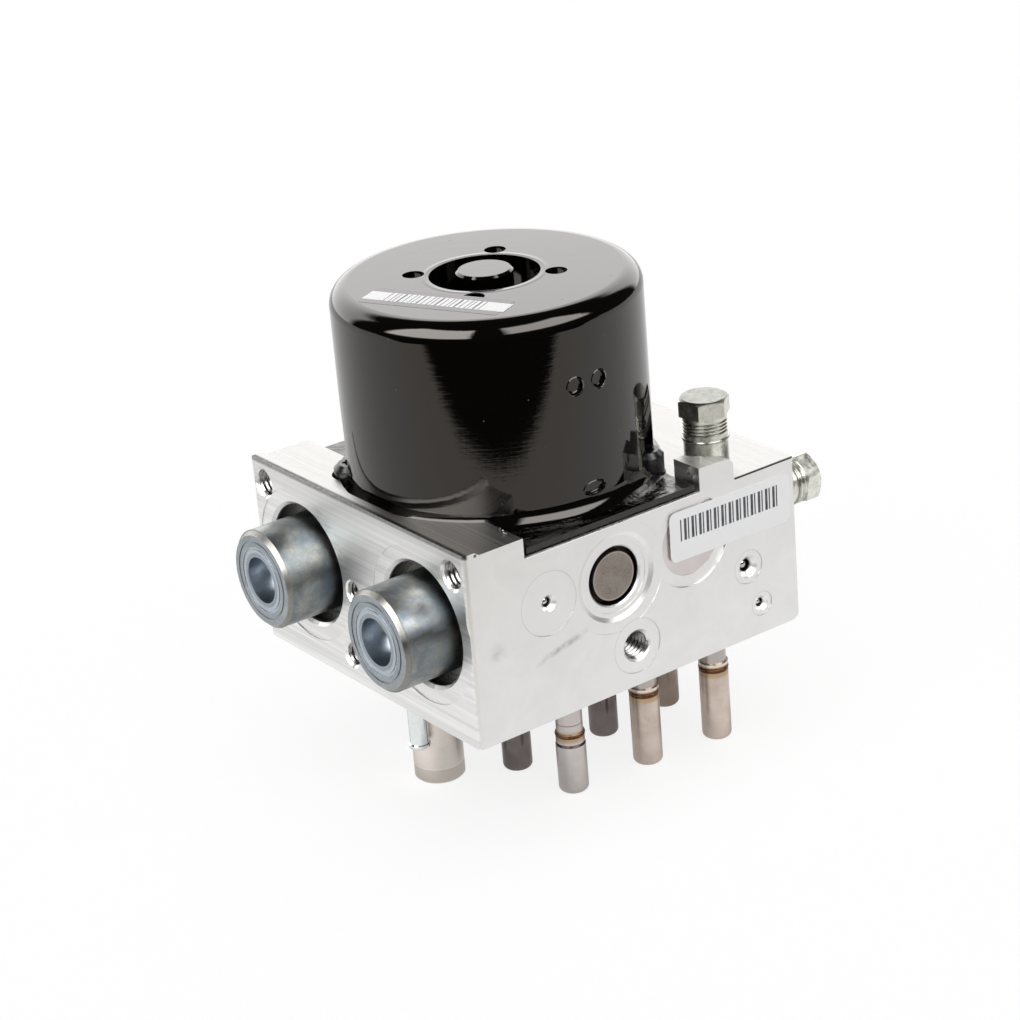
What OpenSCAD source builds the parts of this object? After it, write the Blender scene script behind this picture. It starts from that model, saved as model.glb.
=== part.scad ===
// Hydraulic unit of an ABS brake module: motor, valve block, pump, accumulators and valve domes.
// Origin: on the motor's axis, in the block's lower face. X runs to the right along the front face,
// Y runs away from it, Z points up to the motor. Places on the block are given as distances from its
// left face, its front face and its lower face, as on its drawing.

/* [Valve block] */
// Length of the block from the left face to the right face
block_l = 101; // [97:1:106]
// Width of the block from the front face to the rear face
block_w = 90.6; // [89:0.2:100]
// Height of the block at the lip along its left face
block_h = 50; // [49:0.5:53]
// Height of the machined seat that the motor stands on
seat_z = 44; // [43:0.25:45]
// Distance of the motor's axis from the left face
motor_from_left = 43.5; // [43:0.25:46]
// Distance of the motor's axis from the front face
motor_from_front = 44; // [42:0.5:46]
// Distance of the slot's left wall from the left face
slot_from_left = 17.1; // [15:0.5:18]
// Width of the slot between the horn and the lug
slot_w = 53.4; // [51:0.2:55]
// Width of the flat lip along the left face
lip_w = 3.2; // [2:0.2:3.6]
// Drop from the lip to the top of the horn
lip_drop = 0.9; // [0.4:0.1:1.5]
// Width of the lug on the right of the slot
lug_w = 10.8; // [9:0.2:13]
// Length of the lug along the slot
lug_l = 9.4; // [6:0.2:11]
// Radius of the block's lower right edge
edge_r = 3; // [1:0.5:4]
// Radius of the block's upright front edges
corner_r = 1.2; // [0.5:0.1:2]

/* [Motor can] */
// Outer radius of the motor can
can_r = 38.1; // [36.5:0.1:39]
// Height of the motor can above its seat
can_h = 53.3; // [51:0.5:60]
// Sheet thickness of the motor can
can_wall = 2; // [1.6:0.1:2.2]
// Outer radius of the can's shoulder
shoulder_r = 4.6; // [3:0.2:6]
// Radius of the bearing boss in the middle of the can
boss_r = 7; // [6.6:0.1:8]
// Rise of the bearing boss above the can's top
boss_rise = 1.1; // [0:0.1:2]
// Outer radius of the moat round the bearing boss
moat_r = 13.6; // [12.5:0.1:14.5]
// Depth of the moat round the bearing boss
moat_depth = 6; // [5:0.25:6.5]
// Thickness of the can's flange
flange_t = 2; // [1.5:0.1:2.4]
// Gap between the can's wall and the pocket in the block that it stands in
pocket_gap = 2.1; // [1.7:0.1:2.9]

/* [Motor screws] */
// Distance of the motor screws' axes inside the can's outer wall
screw_inset = 1.2; // [0.9:0.1:1.9]
// Directions of the motor screws round the motor's axis
screw_angles = [-51, 50, 148];
// Radius of the motor screws' heads
screw_head_r = 4.4; // [4:0.1:4.8]
// Height of the motor screws' heads
screw_head_h = 6; // [4:0.25:7]
// Radius of the motor screws' shanks
screw_r = 2.5; // [2:0.1:3]
// Depth that the motor screws reach into the block
screw_depth = 5.2; // [3:0.1:5.4]

/* [Motor inside] */
// Radius of the shaft in the armature and the lower bearing
shaft_r = 5; // [4.5:0.1:5.5]
// Radius of the shaft in the upper bush
shaft_top_r = 3; // [2.5:0.1:3.2]
// Gap between the magnets and the armature core
air_gap = 0.85; // [0.5:0.05:1.2]
// Height of the armature core
core_h = 19; // [14:0.5:19]
// Number of slots in the armature core
core_slots = 12; // [9:1:14]
// Thickness of the magnets
magnet_t = 5.6; // [4:0.1:5.7]
// Radius of the commutator
commutator_r = 11; // [9:0.25:12]
// Height of the commutator
commutator_h = 9; // [7:0.25:9.5]

/* [Bearing and eccentric] */
// Outer radius of the lower ball bearing
bearing_r = 13; // [12.5:0.1:13.5]
// Height of the lower ball bearing
bearing_h = 8; // [7:0.25:8]
// Radius of the bearing's balls
ball_r = 2.4; // [2:0.1:2.6]
// Number of balls in the bearing
ball_count = 8; // [6:1:9]
// Offset of the eccentric from the motor's axis
eccentric_offset = 0.9; // [0.5:0.05:1.1]
// Outer radius of the eccentric's needle bearing ring
eccentric_ring_r = 9.2; // [8.8:0.1:9.4]
// Radius of the needles
needle_r = 1; // [0.9:0.05:1.1]
// Number of needles round the eccentric
needle_count = 14; // [10:1:16]

/* [Pump] */
// Height of the pump's axis above the block's lower face
pump_z = 30.3; // [30:0.1:31]
// Radius of the pump bores
pump_bore_r = 7.5; // [7.2:0.1:7.8]
// Radius of the pump pistons
piston_r = 4; // [3:0.1:4.4]
// Length of the pump pistons
piston_l = 14; // [12:0.25:15]
// Running clearance of the pump pistons
pump_clearance = 0.04; // [0.02:0.01:0.08]

/* [Accumulators] */
// Height of the accumulators' axes above the block's lower face
accumulator_z = 26.2; // [25.5:0.1:26.5]
// Distance of each accumulator's axis from the nearer face, the front one or the rear one
accumulator_from_face = 20.2; // [19.5:0.1:20.5]
// Radius of the accumulators' bores at the left face
accumulator_bore_r = 15.6; // [15.3:0.1:15.8]
// Radius of the accumulator cups
cup_r = 12.8; // [12.4:0.1:13]
// Length that the cups stand out of the block
cup_out = 13; // [10:0.5:20]
// Wall of the cups
cup_wall = 1.6; // [1.2:0.1:1.8]
// Radius of the round-bottomed hole in the cup's end
cup_hole_r = 6; // [5:0.1:6]
// Travel of the accumulator pistons
accumulator_travel = 4; // [2:0.25:4]

/* [Valves] */
// Length of the valve domes below the block
dome_l = 28; // [24:0.5:32]
// Outer radius of the valve domes
dome_r = 3.76; // [3.6:0.02:3.9]
// Wall of the valve domes
dome_wall = 0.5; // [0.4:0.05:0.6]
// Radius of the narrow neck of the outlet valves' domes
neck_r = 3.3; // [3.2:0.05:3.4]
// Travel of the valve armatures
valve_travel = 0.4; // [0.2:0.05:0.6]
// Depth of the valve bores in the block
valve_bore_depth = 15; // [13:0.5:15.5]

/* [Port plugs] */
// Width across the flats of the plugs' hexagon heads
plug_flats = 11.5; // [11:0.25:13]
// Height of the plugs' heads
plug_head_h = 4.6; // [4:0.1:6]
// Outer radius of the plugs' threaded shanks
plug_r = 5.6; // [5.4:0.05:5.7]
// Depth of the threaded ports in the block
port_depth = 9; // [8:0.25:10]

/* [Hidden] */
$fn = 64;

// Small gap between fitted faces, and the overrun of a cut
fit = 0.02;
cut = 1;

// Block places in the part's frame
left_x = -motor_from_left;
right_x = left_x + block_l;
front_y = -motor_from_front;
rear_y = front_y + block_w;
slot_left = left_x + slot_from_left;
slot_right = slot_left + slot_w;
horn_z = block_h - lip_drop;
lug_right = slot_right + lug_w;
lug_rear = front_y + lug_l;

// Motor can heights
can_top = seat_z + can_h;
boss_top = can_top + boss_rise;
moat_floor = can_top - moat_depth;
can_in = can_r - can_wall;
pocket_r = can_r + pocket_gap;
screw_pitch_r = can_r - screw_inset;
lid_z = can_top - can_wall;
flange_z = seat_z + flange_t;
screw_seat_z = flange_z + 0.05;
fillet_r = 4.4;
tongue_gap = 1.2;
tongue_front = front_y + 0.7;
scoop_r = screw_head_r + 0.6;
scoop_h = screw_head_h + 0.5;
scoop_lean = 18.5;
scoop_l = 24;
scoop_overlap = 1.8;
dimple_pitch_r = 17.5;
dimple_r = 2.7;
dimple_depth = 1.1;
side_dimple_drop = 18.8;
side_dimple_z = can_top - side_dimple_drop;
side_dimple_r = 2.1;
side_dimple_angles = [-95.3, -84.7];
slot_hole_rise = 8;
slot_hole_z = seat_z + slot_hole_rise;
slot_hole_w = 6;
slot_hole_h = 2.8;

// Motor inside heights
bush_h = boss_top - moat_floor - 1;
bush_z = moat_floor - can_wall + 0.2;
bush_r = boss_r - can_wall;
core_z = moat_floor - can_wall - 0.8 - core_h;
magnet_r = can_in - 0.05;
core_r = magnet_r - magnet_t - air_gap;
winding_in = moat_r + can_wall + 1.2;
winding_out = core_r - 2.5;
winding_h = 3.6;
plate_z = seat_z + 0.05;
plate_t = 2.6;
plate_hole_gap = 2;
plate_r = can_in - magnet_t - 0.5;
commutator_z = plate_z + plate_t + 2.4;
brush_w = 5;
brush_h = 6;
brush_l = 11;
brush_box_l = brush_l + 5;
brush_z = commutator_z + commutator_h / 2;
brush_angles = [20, 200];
brush_spring_r = 1.9;
brush_wire_r = 0.3;
touch = 0.05;
// The lead runs down inside the can, clear of the end of the rear accumulator's bore
lead_in_can = 13;
lead_web = 0.6;
lead_tube_r = 2.4;
accumulator_floor = 17.4;
lead_x = max(lead_in_can - can_in, left_x + accumulator_floor + lead_web + lead_tube_r);
lead_y = 14;
lead_boss_r = 5;
lead_boss_rise = 2;
lead_flare = 0.35;
lead_flare_h = 0.9;
lead_tube_bore = 1.9;
lead_pin_r = 0.55;
lead_pin_gap = 1.5;
lead_pin_in = 4;
lead_pin_up = 3;

// Bearing and eccentric heights
bearing_z = seat_z - bearing_h;
cavity_r = bearing_r - 1;
cavity_floor = 16;
race_r = (shaft_r + bearing_r) / 2;
race_gap = ball_r - 0.9;
cam_h = 9;
cam_z = pump_z - cam_h / 2;
cam_r = eccentric_ring_r - 1.6 - 2 * needle_r - 2 * fit;
pilot_r = 3.5;

// Pump places, measured outward from the motor's axis
cylinder_in = bearing_r + 0.3;
piston_reach = eccentric_ring_r + 2 * eccentric_offset + 0.4;
cylinder_l = 15.9;
cylinder_out = cylinder_in + cylinder_l;
pump_plug_r = 6.2;
pump_plug_in = 1.2;
pump_counterbore_r = 10.4;
pump_counterbore_depth = 0.7;
pump_mouth_r = 11.7;
pump_step_r = 9.3;
pump_spotface_r = 14.4;
spring_wire = 0.6;
front_face = motor_from_front;
rear_face = block_w - motor_from_front;
spring_seat = cylinder_out + 2;

// Damper
damper_from_left = 66.8;
damper_x = left_x + damper_from_left;
damper_z = 31.9;
damper_r = 8.6;
damper_step_r = 11.65;
damper_depth = 11;
damper_shoulder = 0.6;
damper_sink = 0.6;
damper_cap_t = 2.4;
damper_face_t = 1.2;
damper_wall = 1.6;
damper_step_depth = 0.5;

// Accumulator places along X, measured inward from the left face
cup_flange_in = 6.4;
cup_flange_t = 2.4;
ring_wire = 1.3;
ring_in = 1.1;
accumulator_step = cup_flange_in + cup_flange_t;
accumulator_piston_r = 12.1;
accumulator_back_gap = 0.3;
piston_recess = 1.6;
piston_rim = 1.7;
seal_groove_in = 2.2;
seal_groove_w = 1.5;
seal_groove_depth = 1.2;
seal_r = accumulator_piston_r - seal_groove_depth + 0.02;
accumulator_spring_r = accumulator_piston_r - 2.7;
accumulator_wire_r = 0.65;
accumulator_piston_l = accumulator_floor - accumulator_step - accumulator_travel - 0.5;
accumulator_front_y = front_y + accumulator_from_face;
accumulator_rear_y = rear_y - accumulator_from_face;
cup_end_x = left_x - cup_out;
cup_chamfer = 1.1;
cup_hole_depth = 7;
cup_hole_round = 1.4;
cup_hole_straight = cup_hole_depth - cup_hole_r + cup_hole_round;
cup_floor_t = cup_wall + 0.6;
cup_ring_radii = [8.2, 10];
cup_ring_cut = 0.25;

// Valves: distance from the left face, distance from the front face, and the kind of dome
// (0 plain, 1 with a narrow neck, 2 with a stepped cap)
VALVES = [
    [34.6, 11.7, 2], [57, 10, 1], [78.1, 8, 1], [31.8, 31.1, 0],
    [58.7, 29.9, 0], [80.3, 31.4, 0], [60, 62, 0], [80, 62, 1]
];
valve_bore_r = 4.4;
spigot_l = 8;
neck_l = 6.6;
cap_l = 13;
cap_groove_w = 0.7;
collar_l = 2.7;
dome_edge = 1.4;
armature_gap = 0.1;
seat_drop = 2;
seat_hole_r = 0.9;
valve_spring_hole_r = 1.9;
valve_spring_hole_l = 5;
valve_spring_r = 1.5;
valve_wire_r = 0.22;

// Pressure sensor
sensor_from_left = 15.7;
sensor_from_front = 42.5;
sensor_x = left_x + sensor_from_left;
sensor_y = front_y + sensor_from_front;
sensor_r = 6.4;
sensor_step = 1;
sensor_sink = 1.2;
sensor_l = 9;
sensor_bore_depth = 10;
sensor_edge = 0.5;

// Port plugs
plug_top_from_left = 85.1;
plug_top_from_front = 14.5;
plug_top_x = left_x + plug_top_from_left;
plug_top_y = front_y + plug_top_from_front;
plug_top_out = 17;
plug_side_from_front = 7.3;
plug_side_y = front_y + plug_side_from_front;
plug_side_z = 33.75;
plug_side_out = 10.2;
plug_spotface_r = 12.5;
plug_chamfer = 0.7;
plug_top_turn = 38;
plug_side_turn = 10;
ring_share = 0.48;
ring_r = 0.42;

// Threaded holes in the left face: distance from the front face, height, minor radius, depth
LEFT_HOLES = [[86.3, 43.7, 3.4, 12], [5.9, 43.4, 3.4, 11], [49.7, 25, 2.8, 10], [52.9, 7, 2.8, 9]];
mount_from_left = 48.4;
mount_x = left_x + mount_from_left;
mount_z = 10.4;
mount_r = 3.4;
mount_depth = 12;
mount_spotface_r = 7.06;
spotface_depth = 0.25;

// Passages drilled from the front face and closed with balls: distance from the left face,
// height, radius of the conical mouth, radius of the milled ring round it
PASSAGES = [[23.1, 30.4, 2.2, 8.15], [84.6, 19.3, 2.9, 4.4], [88.4, 8.05, 2.05, 3.2]];
passage_depth = 10;
passage_bore_share = 0.56;
passage_ball_in = 0.5;

// Turns a shape that is drawn along Z so that it runs into the block from its front face
module from_front(x, z) translate([x, front_y, z]) rotate([-90, 0, 0]) children();

// The same from the rear face
module from_rear(x, z) translate([x, rear_y, z]) rotate([90, 0, 0]) children();

// The same from the left face
module from_left(y, z) translate([left_x, y, z]) rotate([0, 90, 0]) children();

// The same from the right face
module from_right(y, z) translate([right_x, y, z]) rotate([0, -90, 0]) children();

// Plain tube along Z
module tube(outer, inner, length) {
    difference() {
        cylinder(r = outer, h = length);
        translate([0, 0, -cut]) cylinder(r = inner, h = length + 2 * cut);
    }
}

// Coil spring along Z, from 0 to length, swept round its mean radius
module coil(radius, wire, length, turns, steps = 12, sides = 5) {
    rings = turns * steps;
    rise = (length - 2 * wire) / rings;
    points = [
        for (i = [0 : rings]) for (j = [0 : sides - 1])
            let (a = 360 * i / steps, b = 360 * j / sides, r = radius + wire * cos(b))
                [r * cos(a), r * sin(a), wire + i * rise + wire * sin(b)]
    ];
    walls = [
        for (i = [0 : rings - 1]) for (j = [0 : sides - 1])
            let (k = (j + 1) % sides)
                [i * sides + j, (i + 1) * sides + j, (i + 1) * sides + k, i * sides + k]
    ];
    start = [for (j = [0 : sides - 1]) j];
    finish = [for (j = [sides - 1 : -1 : 0]) rings * sides + j];
    polyhedron(points, concat(walls, [start, finish]), convexity = turns);
}

// Section of the extruded bar, seen from the front
module block_section() {
    lug_drop = 0.3;
    lug_slope = 1.5;
    points = [
        [left_x, 0], [left_x, block_h], [left_x + lip_w, block_h], [left_x + lip_w + 1.2, horn_z],
        [slot_left, horn_z], [slot_left, seat_z], [slot_right, seat_z], [slot_right, block_h],
        [slot_right + lug_w * 0.55, block_h - lug_drop * 0.3], [lug_right - lug_slope, block_h - lug_drop],
        [lug_right - 0.2, block_h - lug_slope], [lug_right, block_h - lug_slope - 0.6], [lug_right, seat_z],
        [right_x, seat_z], [right_x, edge_r],
        for (a = [-15 : -15 : -75]) [right_x - edge_r + edge_r * cos(a), edge_r + edge_r * sin(a)],
        [right_x - edge_r, 0]
    ];
    polygon(points);
}

// Material that the upright front corner loses to its rounding
module corner_cut(x, side) {
    translate([x, front_y, 0]) difference() {
        translate([side > 0 ? -cut : -corner_r, -cut, -cut])
            cube([corner_r + cut, corner_r + cut, block_h + 2 * cut]);
        translate([side * corner_r, corner_r, -2 * cut]) cylinder(r = corner_r, h = block_h + 4 * cut);
    }
}

module motor_pocket() {
    translate([0, 0, seat_z]) cylinder(r = pocket_r, h = block_h, $fn = 128);
    translate([slot_left, front_y - cut, seat_z]) cube([slot_w, block_w + 2 * cut, block_h]);
    translate([slot_right - cut, lug_rear, seat_z]) cube([lug_w + 3 * cut, block_w, block_h]);
    translate([plug_top_x, plug_top_y, seat_z]) cylinder(r = plug_spotface_r, h = block_h);
    translate([0, 0, bearing_z]) cylinder(r = bearing_r + fit, h = block_h);
    translate([0, 0, cavity_floor]) cylinder(r = cavity_r, h = block_h);
    for (a = screw_angles) {
        rotate(a) translate([screw_pitch_r, 0, seat_z - screw_depth - 0.6])
            cylinder(r = screw_r + fit, h = block_h);
        rotate(a) translate([screw_pitch_r, 0, seat_z - fit]) cylinder(r = scoop_r, h = block_h);
    }
    translate([lead_x, lead_y, -cut]) cylinder(r = lead_tube_r + fit, h = block_h);
}

// Chamfer at the mouth of a bore. It runs past the face and past the bore's wall
module lead_in(radius, width, face = 0) {
    over = 0.2;
    translate([0, 0, face - over])
        cylinder(r1 = radius + width + over, r2 = radius - over, h = width + 2 * over);
}

// Bore of one pump half, from a face to the eccentric's cavity
module pump_bore(depth) {
    translate([0, 0, -cut]) cylinder(r = pump_bore_r, h = depth + cut);
    slope = (pump_mouth_r - pump_counterbore_r) / pump_counterbore_depth;
    translate([0, 0, -cut])
        cylinder(r1 = pump_mouth_r + slope * cut, r2 = pump_counterbore_r, h = pump_counterbore_depth + cut);
    translate([0, 0, -cut]) cylinder(r = pump_step_r, h = cut + pump_counterbore_depth + 0.15);
    translate([0, 0, -cut]) cylinder(r = pump_spotface_r, h = cut + 0.12);
    lead_in(pump_bore_r, 0.4, pump_counterbore_depth + 0.15);
}

module accumulator_bore() {
    groove_z = cup_flange_in - ring_wire;
    translate([0, 0, -cut]) cylinder(r = accumulator_bore_r, h = cut + accumulator_step);
    translate([0, 0, groove_z - fit]) cylinder(r = accumulator_bore_r + 0.6, h = ring_wire + fit);
    translate([0, 0, cut]) cylinder(r = accumulator_piston_r + 0.05, h = accumulator_floor - cut);
    translate([0, 0, -cut]) cylinder(r = accumulator_bore_r + 4.4, h = cut + spotface_depth);
    lead_in(accumulator_bore_r, 0.8, spotface_depth);
}

module valve_block() {
    color([0.86, 0.86, 0.85]) difference() {
        translate([0, rear_y, 0]) rotate([90, 0, 0]) linear_extrude(block_w) block_section();
        corner_cut(left_x, 1);
        corner_cut(right_x, -1);
        motor_pocket();
        from_front(0, pump_z) pump_bore(motor_from_front);
        from_rear(0, pump_z) pump_bore(block_w - motor_from_front);
        from_front(damper_x, damper_z) {
            translate([0, 0, -cut]) cylinder(r = damper_r - damper_shoulder, h = damper_depth + cut);
            translate([0, 0, -cut]) cylinder(r = damper_r + fit, h = cut + damper_sink + damper_cap_t);
            translate([0, 0, -cut]) cylinder(r = damper_step_r, h = cut + damper_step_depth);
        }
        for (y = [accumulator_front_y, accumulator_rear_y]) from_left(y, accumulator_z) accumulator_bore();
        for (h = LEFT_HOLES) from_left(front_y + h[0], h[1]) {
            translate([0, 0, -cut]) cylinder(r = h[2], h = cut + h[3]);
            lead_in(h[2], 0.7);
        }
        from_front(mount_x, mount_z) {
            translate([0, 0, -cut]) cylinder(r = mount_r, h = cut + mount_depth);
            translate([0, 0, -cut]) cylinder(r = mount_spotface_r, h = cut + 0.15);
            lead_in(mount_r, 0.8, 0.15);
        }
        for (p = PASSAGES) from_front(left_x + p[0], p[1]) {
            translate([0, 0, -cut]) cylinder(r = p[2] * passage_bore_share, h = cut + passage_depth);
            translate([0, 0, -cut]) cylinder(r = p[3], h = cut + 0.15);
            lead_in(p[2] * passage_bore_share, p[2] * (1 - passage_bore_share), 0.15);
        }
        for (v = VALVES) translate([left_x + v[0], front_y + v[1], -cut])
            cylinder(r = valve_bore_r, h = cut + valve_bore_depth);
        translate([sensor_x, sensor_y, -cut])
            cylinder(r = sensor_r - sensor_step, h = cut + sensor_bore_depth);
        translate([sensor_x, sensor_y, -cut]) cylinder(r = sensor_r + fit, h = cut + sensor_sink);
        translate([plug_top_x, plug_top_y, seat_z - port_depth]) cylinder(r = plug_r + fit, h = block_h);
        from_right(plug_side_y, plug_side_z)
            translate([0, 0, -cut]) cylinder(r = plug_r + fit, h = cut + port_depth);
    }
}

// Outline of the can's flange: a ring round the wall and a tongue that fills the slot
module flange_outline() {
    circle(r = pocket_r - 0.3, $fn = 128);
    for (a = screw_angles) rotate(a) translate([screw_pitch_r, 0]) circle(r = scoop_r - 0.3);
    translate([slot_left + tongue_gap, tongue_front])
        square([slot_w - 2 * tongue_gap, rear_y - 0.7 - tongue_front]);
}

// Trough in the can's wall that leaves room for a screw and its driver
module scoop(radius) {
    translate([screw_pitch_r, 0, seat_z - cut]) cylinder(r = radius, h = scoop_h + cut);
    translate([screw_pitch_r, 0, seat_z + scoop_h]) rotate([0, scoop_lean, 0])
        translate([0, 0, -scoop_overlap]) cylinder(r = radius - 0.15, h = scoop_l);
}

module can_skin() {
    boss_edge = 0.6;
    boss_points = [
        [0, can_top - cut], [boss_r, can_top - cut], [boss_r, boss_top - boss_edge],
        [boss_r - boss_edge, boss_top], [0, boss_top]
    ];
    rotate_extrude($fn = 128) {
        difference() {
            union() {
                translate([0, seat_z]) square([can_r, can_h - shoulder_r]);
                translate([0, seat_z]) square([can_r - shoulder_r, can_h]);
                translate([can_r - shoulder_r, can_top - shoulder_r]) circle(r = shoulder_r, $fn = 48);
            }
            translate([boss_r, moat_floor]) square([moat_r - boss_r, moat_depth + cut]);
        }
        polygon(boss_points);
    }
}

module can_hollow() {
    corner_in = shoulder_r - can_wall;
    rotate_extrude($fn = 128) {
        translate([moat_r + can_wall, seat_z - cut])
            square([can_in - moat_r - can_wall, cut + can_h - shoulder_r]);
        translate([0, seat_z]) square([bush_r, boss_top - can_wall - seat_z]);
        translate([0, seat_z - cut]) square([can_in, cut + moat_floor - can_wall - seat_z]);
        translate([moat_r + can_wall, seat_z])
            square([can_r - shoulder_r - moat_r - can_wall, lid_z - seat_z]);
        translate([can_r - shoulder_r, can_top - shoulder_r]) circle(r = corner_in, $fn = 48);
    }
}

// Flange with the concave blend that runs up into the can's wall. The blend stops just short of
// both tangents, so that no edge of it runs out to nothing
module flange() {
    blend_end = can_r + fillet_r;
    blend_step = 0.06;
    blend_h = fillet_r - 5 * blend_step;
    intersection() {
        translate([0, 0, seat_z]) rotate_extrude($fn = 128) difference() {
            square([block_l, flange_t + blend_h]);
            translate([blend_end, flange_t]) square([block_l, fillet_r + cut]);
            translate([blend_end, flange_t + fillet_r + blend_step]) circle(r = fillet_r, $fn = 48);
        }
        translate([0, 0, seat_z - cut]) linear_extrude(fillet_r + flange_t + 2 * cut) flange_outline();
    }
}

// Oblong hole with rounded ends through a wall that faces +X
module wall_slot(width, height, depth) {
    shift = (width - height) / 2;
    translate([0, -shift, 0]) rotate([0, 90, 0]) cylinder(r = height / 2, h = depth);
    translate([0, shift, 0]) rotate([0, 90, 0]) cylinder(r = height / 2, h = depth);
    translate([0, -shift, -height / 2]) cube([depth, 2 * shift, height]);
}

module motor_can() {
    color([0.09, 0.085, 0.085]) difference() {
        union() {
            can_skin();
            flange();
        }
        for (a = screw_angles) rotate(a) difference() {
            scoop(scoop_r);
            translate([0, 0, seat_z - 2 * cut])
                cylinder(r = pocket_r + 9, h = screw_seat_z - seat_z + 2 * cut);
        }
        difference() {
            can_hollow();
            for (a = screw_angles) rotate(a) scoop(scoop_r + can_wall);
        }
        for (a = screw_angles) rotate(a) translate([screw_pitch_r, 0, seat_z - cut])
            cylinder(r = screw_r + 0.3, h = flange_t + 2 * cut);
        for (a = [45 : 90 : 315]) rotate(a) translate([dimple_pitch_r, 0, can_top - dimple_depth])
            cylinder(r = dimple_r, h = dimple_depth + cut);
        for (a = side_dimple_angles) rotate(a) translate([can_r - 0.9, 0, side_dimple_z])
            rotate([0, 90, 0]) cylinder(r = side_dimple_r, h = 2);
        rotate(-90) translate([can_r - 1, 0, slot_hole_z]) wall_slot(slot_hole_w, slot_hole_h, 2);
    }
}

module motor_screws() {
    star_r = 2.2;
    color([0.13, 0.13, 0.14]) for (a = screw_angles) rotate(a) translate([screw_pitch_r, 0, screw_seat_z]) {
        difference() {
            union() {
                cylinder(r = screw_head_r, h = screw_head_h - 1.2);
                translate([0, 0, screw_head_h - 1.2])
                    cylinder(r1 = screw_head_r, r2 = screw_head_r - 1.2, h = 1.2);
                translate([0, 0, -flange_t - screw_depth])
                    cylinder(r = screw_r, h = flange_t + screw_depth + cut);
            }
            for (k = [0 : 60 : 300]) rotate(k)
                translate([star_r * 0.7, 0, screw_head_h - 3]) cylinder(r = star_r * 0.3, h = 4, $fn = 16);
            translate([0, 0, screw_head_h - 3]) cylinder(r = star_r * 0.75, h = 4);
        }
    }
}

module motor_magnets() {
    gap_angle = 18;
    color([0.25, 0.25, 0.27]) for (a = [45 : 90 : 315]) rotate(a)
        translate([0, 0, core_z]) rotate(-45 + gap_angle / 2)
            rotate_extrude(angle = 90 - gap_angle, $fn = 128)
                translate([magnet_r - magnet_t, 0]) square([magnet_t, core_h]);
}

module upper_bush() {
    color([0.6, 0.48, 0.3]) translate([0, 0, bush_z]) tube(bush_r - fit, shaft_top_r + 0.04, bush_h);
}

// One ring of the ball bearing, as a revolved section with its groove
module race(inner, outer) {
    color([0.7, 0.71, 0.73]) translate([0, 0, bearing_z]) rotate_extrude($fn = 96) difference() {
        translate([inner, 0]) square([outer - inner, bearing_h]);
        translate([race_r, bearing_h / 2]) circle(r = ball_r + fit, $fn = 48);
    }
}

module bearing_outer_ring() {
    race(race_r + race_gap, bearing_r);
}

module bearing_inner_ring() {
    race(shaft_r + fit, race_r - race_gap);
}

module bearing_balls() {
    color([0.75, 0.76, 0.78]) for (i = [0 : ball_count - 1]) rotate(i * 360 / ball_count)
        translate([race_r, 0, bearing_z + bearing_h / 2]) sphere(r = ball_r, $fn = 32);
}

// The two brush directions
module each_brush() {
    for (a = brush_angles) rotate(a) translate([commutator_r + 0.1, 0, brush_z]) children();
}

module brush_plate() {
    box_wall = 1.2;
    box_h = brush_z - plate_z - plate_t + brush_h / 2 + 2;
    color([0.16, 0.16, 0.17]) difference() {
        union() {
            difference() {
                translate([0, 0, plate_z]) cylinder(r = plate_r, h = plate_t);
                translate([0, 0, plate_z - cut])
                    cylinder(r = commutator_r + plate_hole_gap, h = plate_t + 2 * cut);
            }
            each_brush() translate([2.5, -brush_w / 2 - box_wall, plate_z - brush_z + plate_t - 0.5])
                cube([brush_box_l - 1, brush_w + 2 * box_wall, box_h]);
            translate([lead_x, lead_y, plate_z]) cylinder(r = lead_boss_r, h = plate_t + lead_boss_rise);
        }
        each_brush() translate([-cut, -brush_w / 2 - 0.05, -brush_h / 2 - 0.05])
            cube([brush_box_l + cut, brush_w + 0.1, brush_h + 0.1]);
        for (s = [-1, 1]) translate([lead_x + s * lead_pin_gap / 2, lead_y, plate_z - cut])
            cylinder(r = lead_pin_r + fit, h = plate_t + 5, $fn = 16);
        for (a = screw_angles) rotate(a) translate([0, 0, -cut]) scoop(scoop_r + can_wall + 0.3);
    }
}

module brushes() {
    color([0.2, 0.2, 0.21]) each_brush() difference() {
        translate([-2, -brush_w / 2, -brush_h / 2]) cube([brush_l + 2, brush_w, brush_h]);
        translate([-commutator_r - 0.1, 0, -brush_h]) cylinder(r = commutator_r + 0.05, h = 2 * brush_h);
    }
}

module brush_springs() {
    color([0.7, 0.7, 0.68]) each_brush() translate([brush_l + touch, 0, 0]) rotate([0, 90, 0])
        coil(brush_spring_r, brush_wire_r, brush_box_l - brush_l - 2 * touch, 4, 10, 5);
}

module motor_lead_pins() {
    color([0.8, 0.6, 0.35]) for (s = [-1, 1])
        translate([lead_x + s * lead_pin_gap / 2, lead_y, lead_pin_in - dome_l])
            cylinder(r = lead_pin_r, h = plate_z + plate_t + lead_pin_up + dome_l - lead_pin_in, $fn = 16);
}

module motor_lead_tube() {
    color([0.8, 0.83, 0.86]) translate([lead_x, lead_y, -dome_l]) difference() {
        union() {
            cylinder(r = lead_tube_r, h = dome_l + seat_z);
            cylinder(r = lead_tube_r + lead_flare, h = lead_flare_h);
        }
        translate([0, 0, -cut]) cylinder(r = lead_tube_bore, h = dome_l + seat_z + 2 * cut);
    }
}

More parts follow.
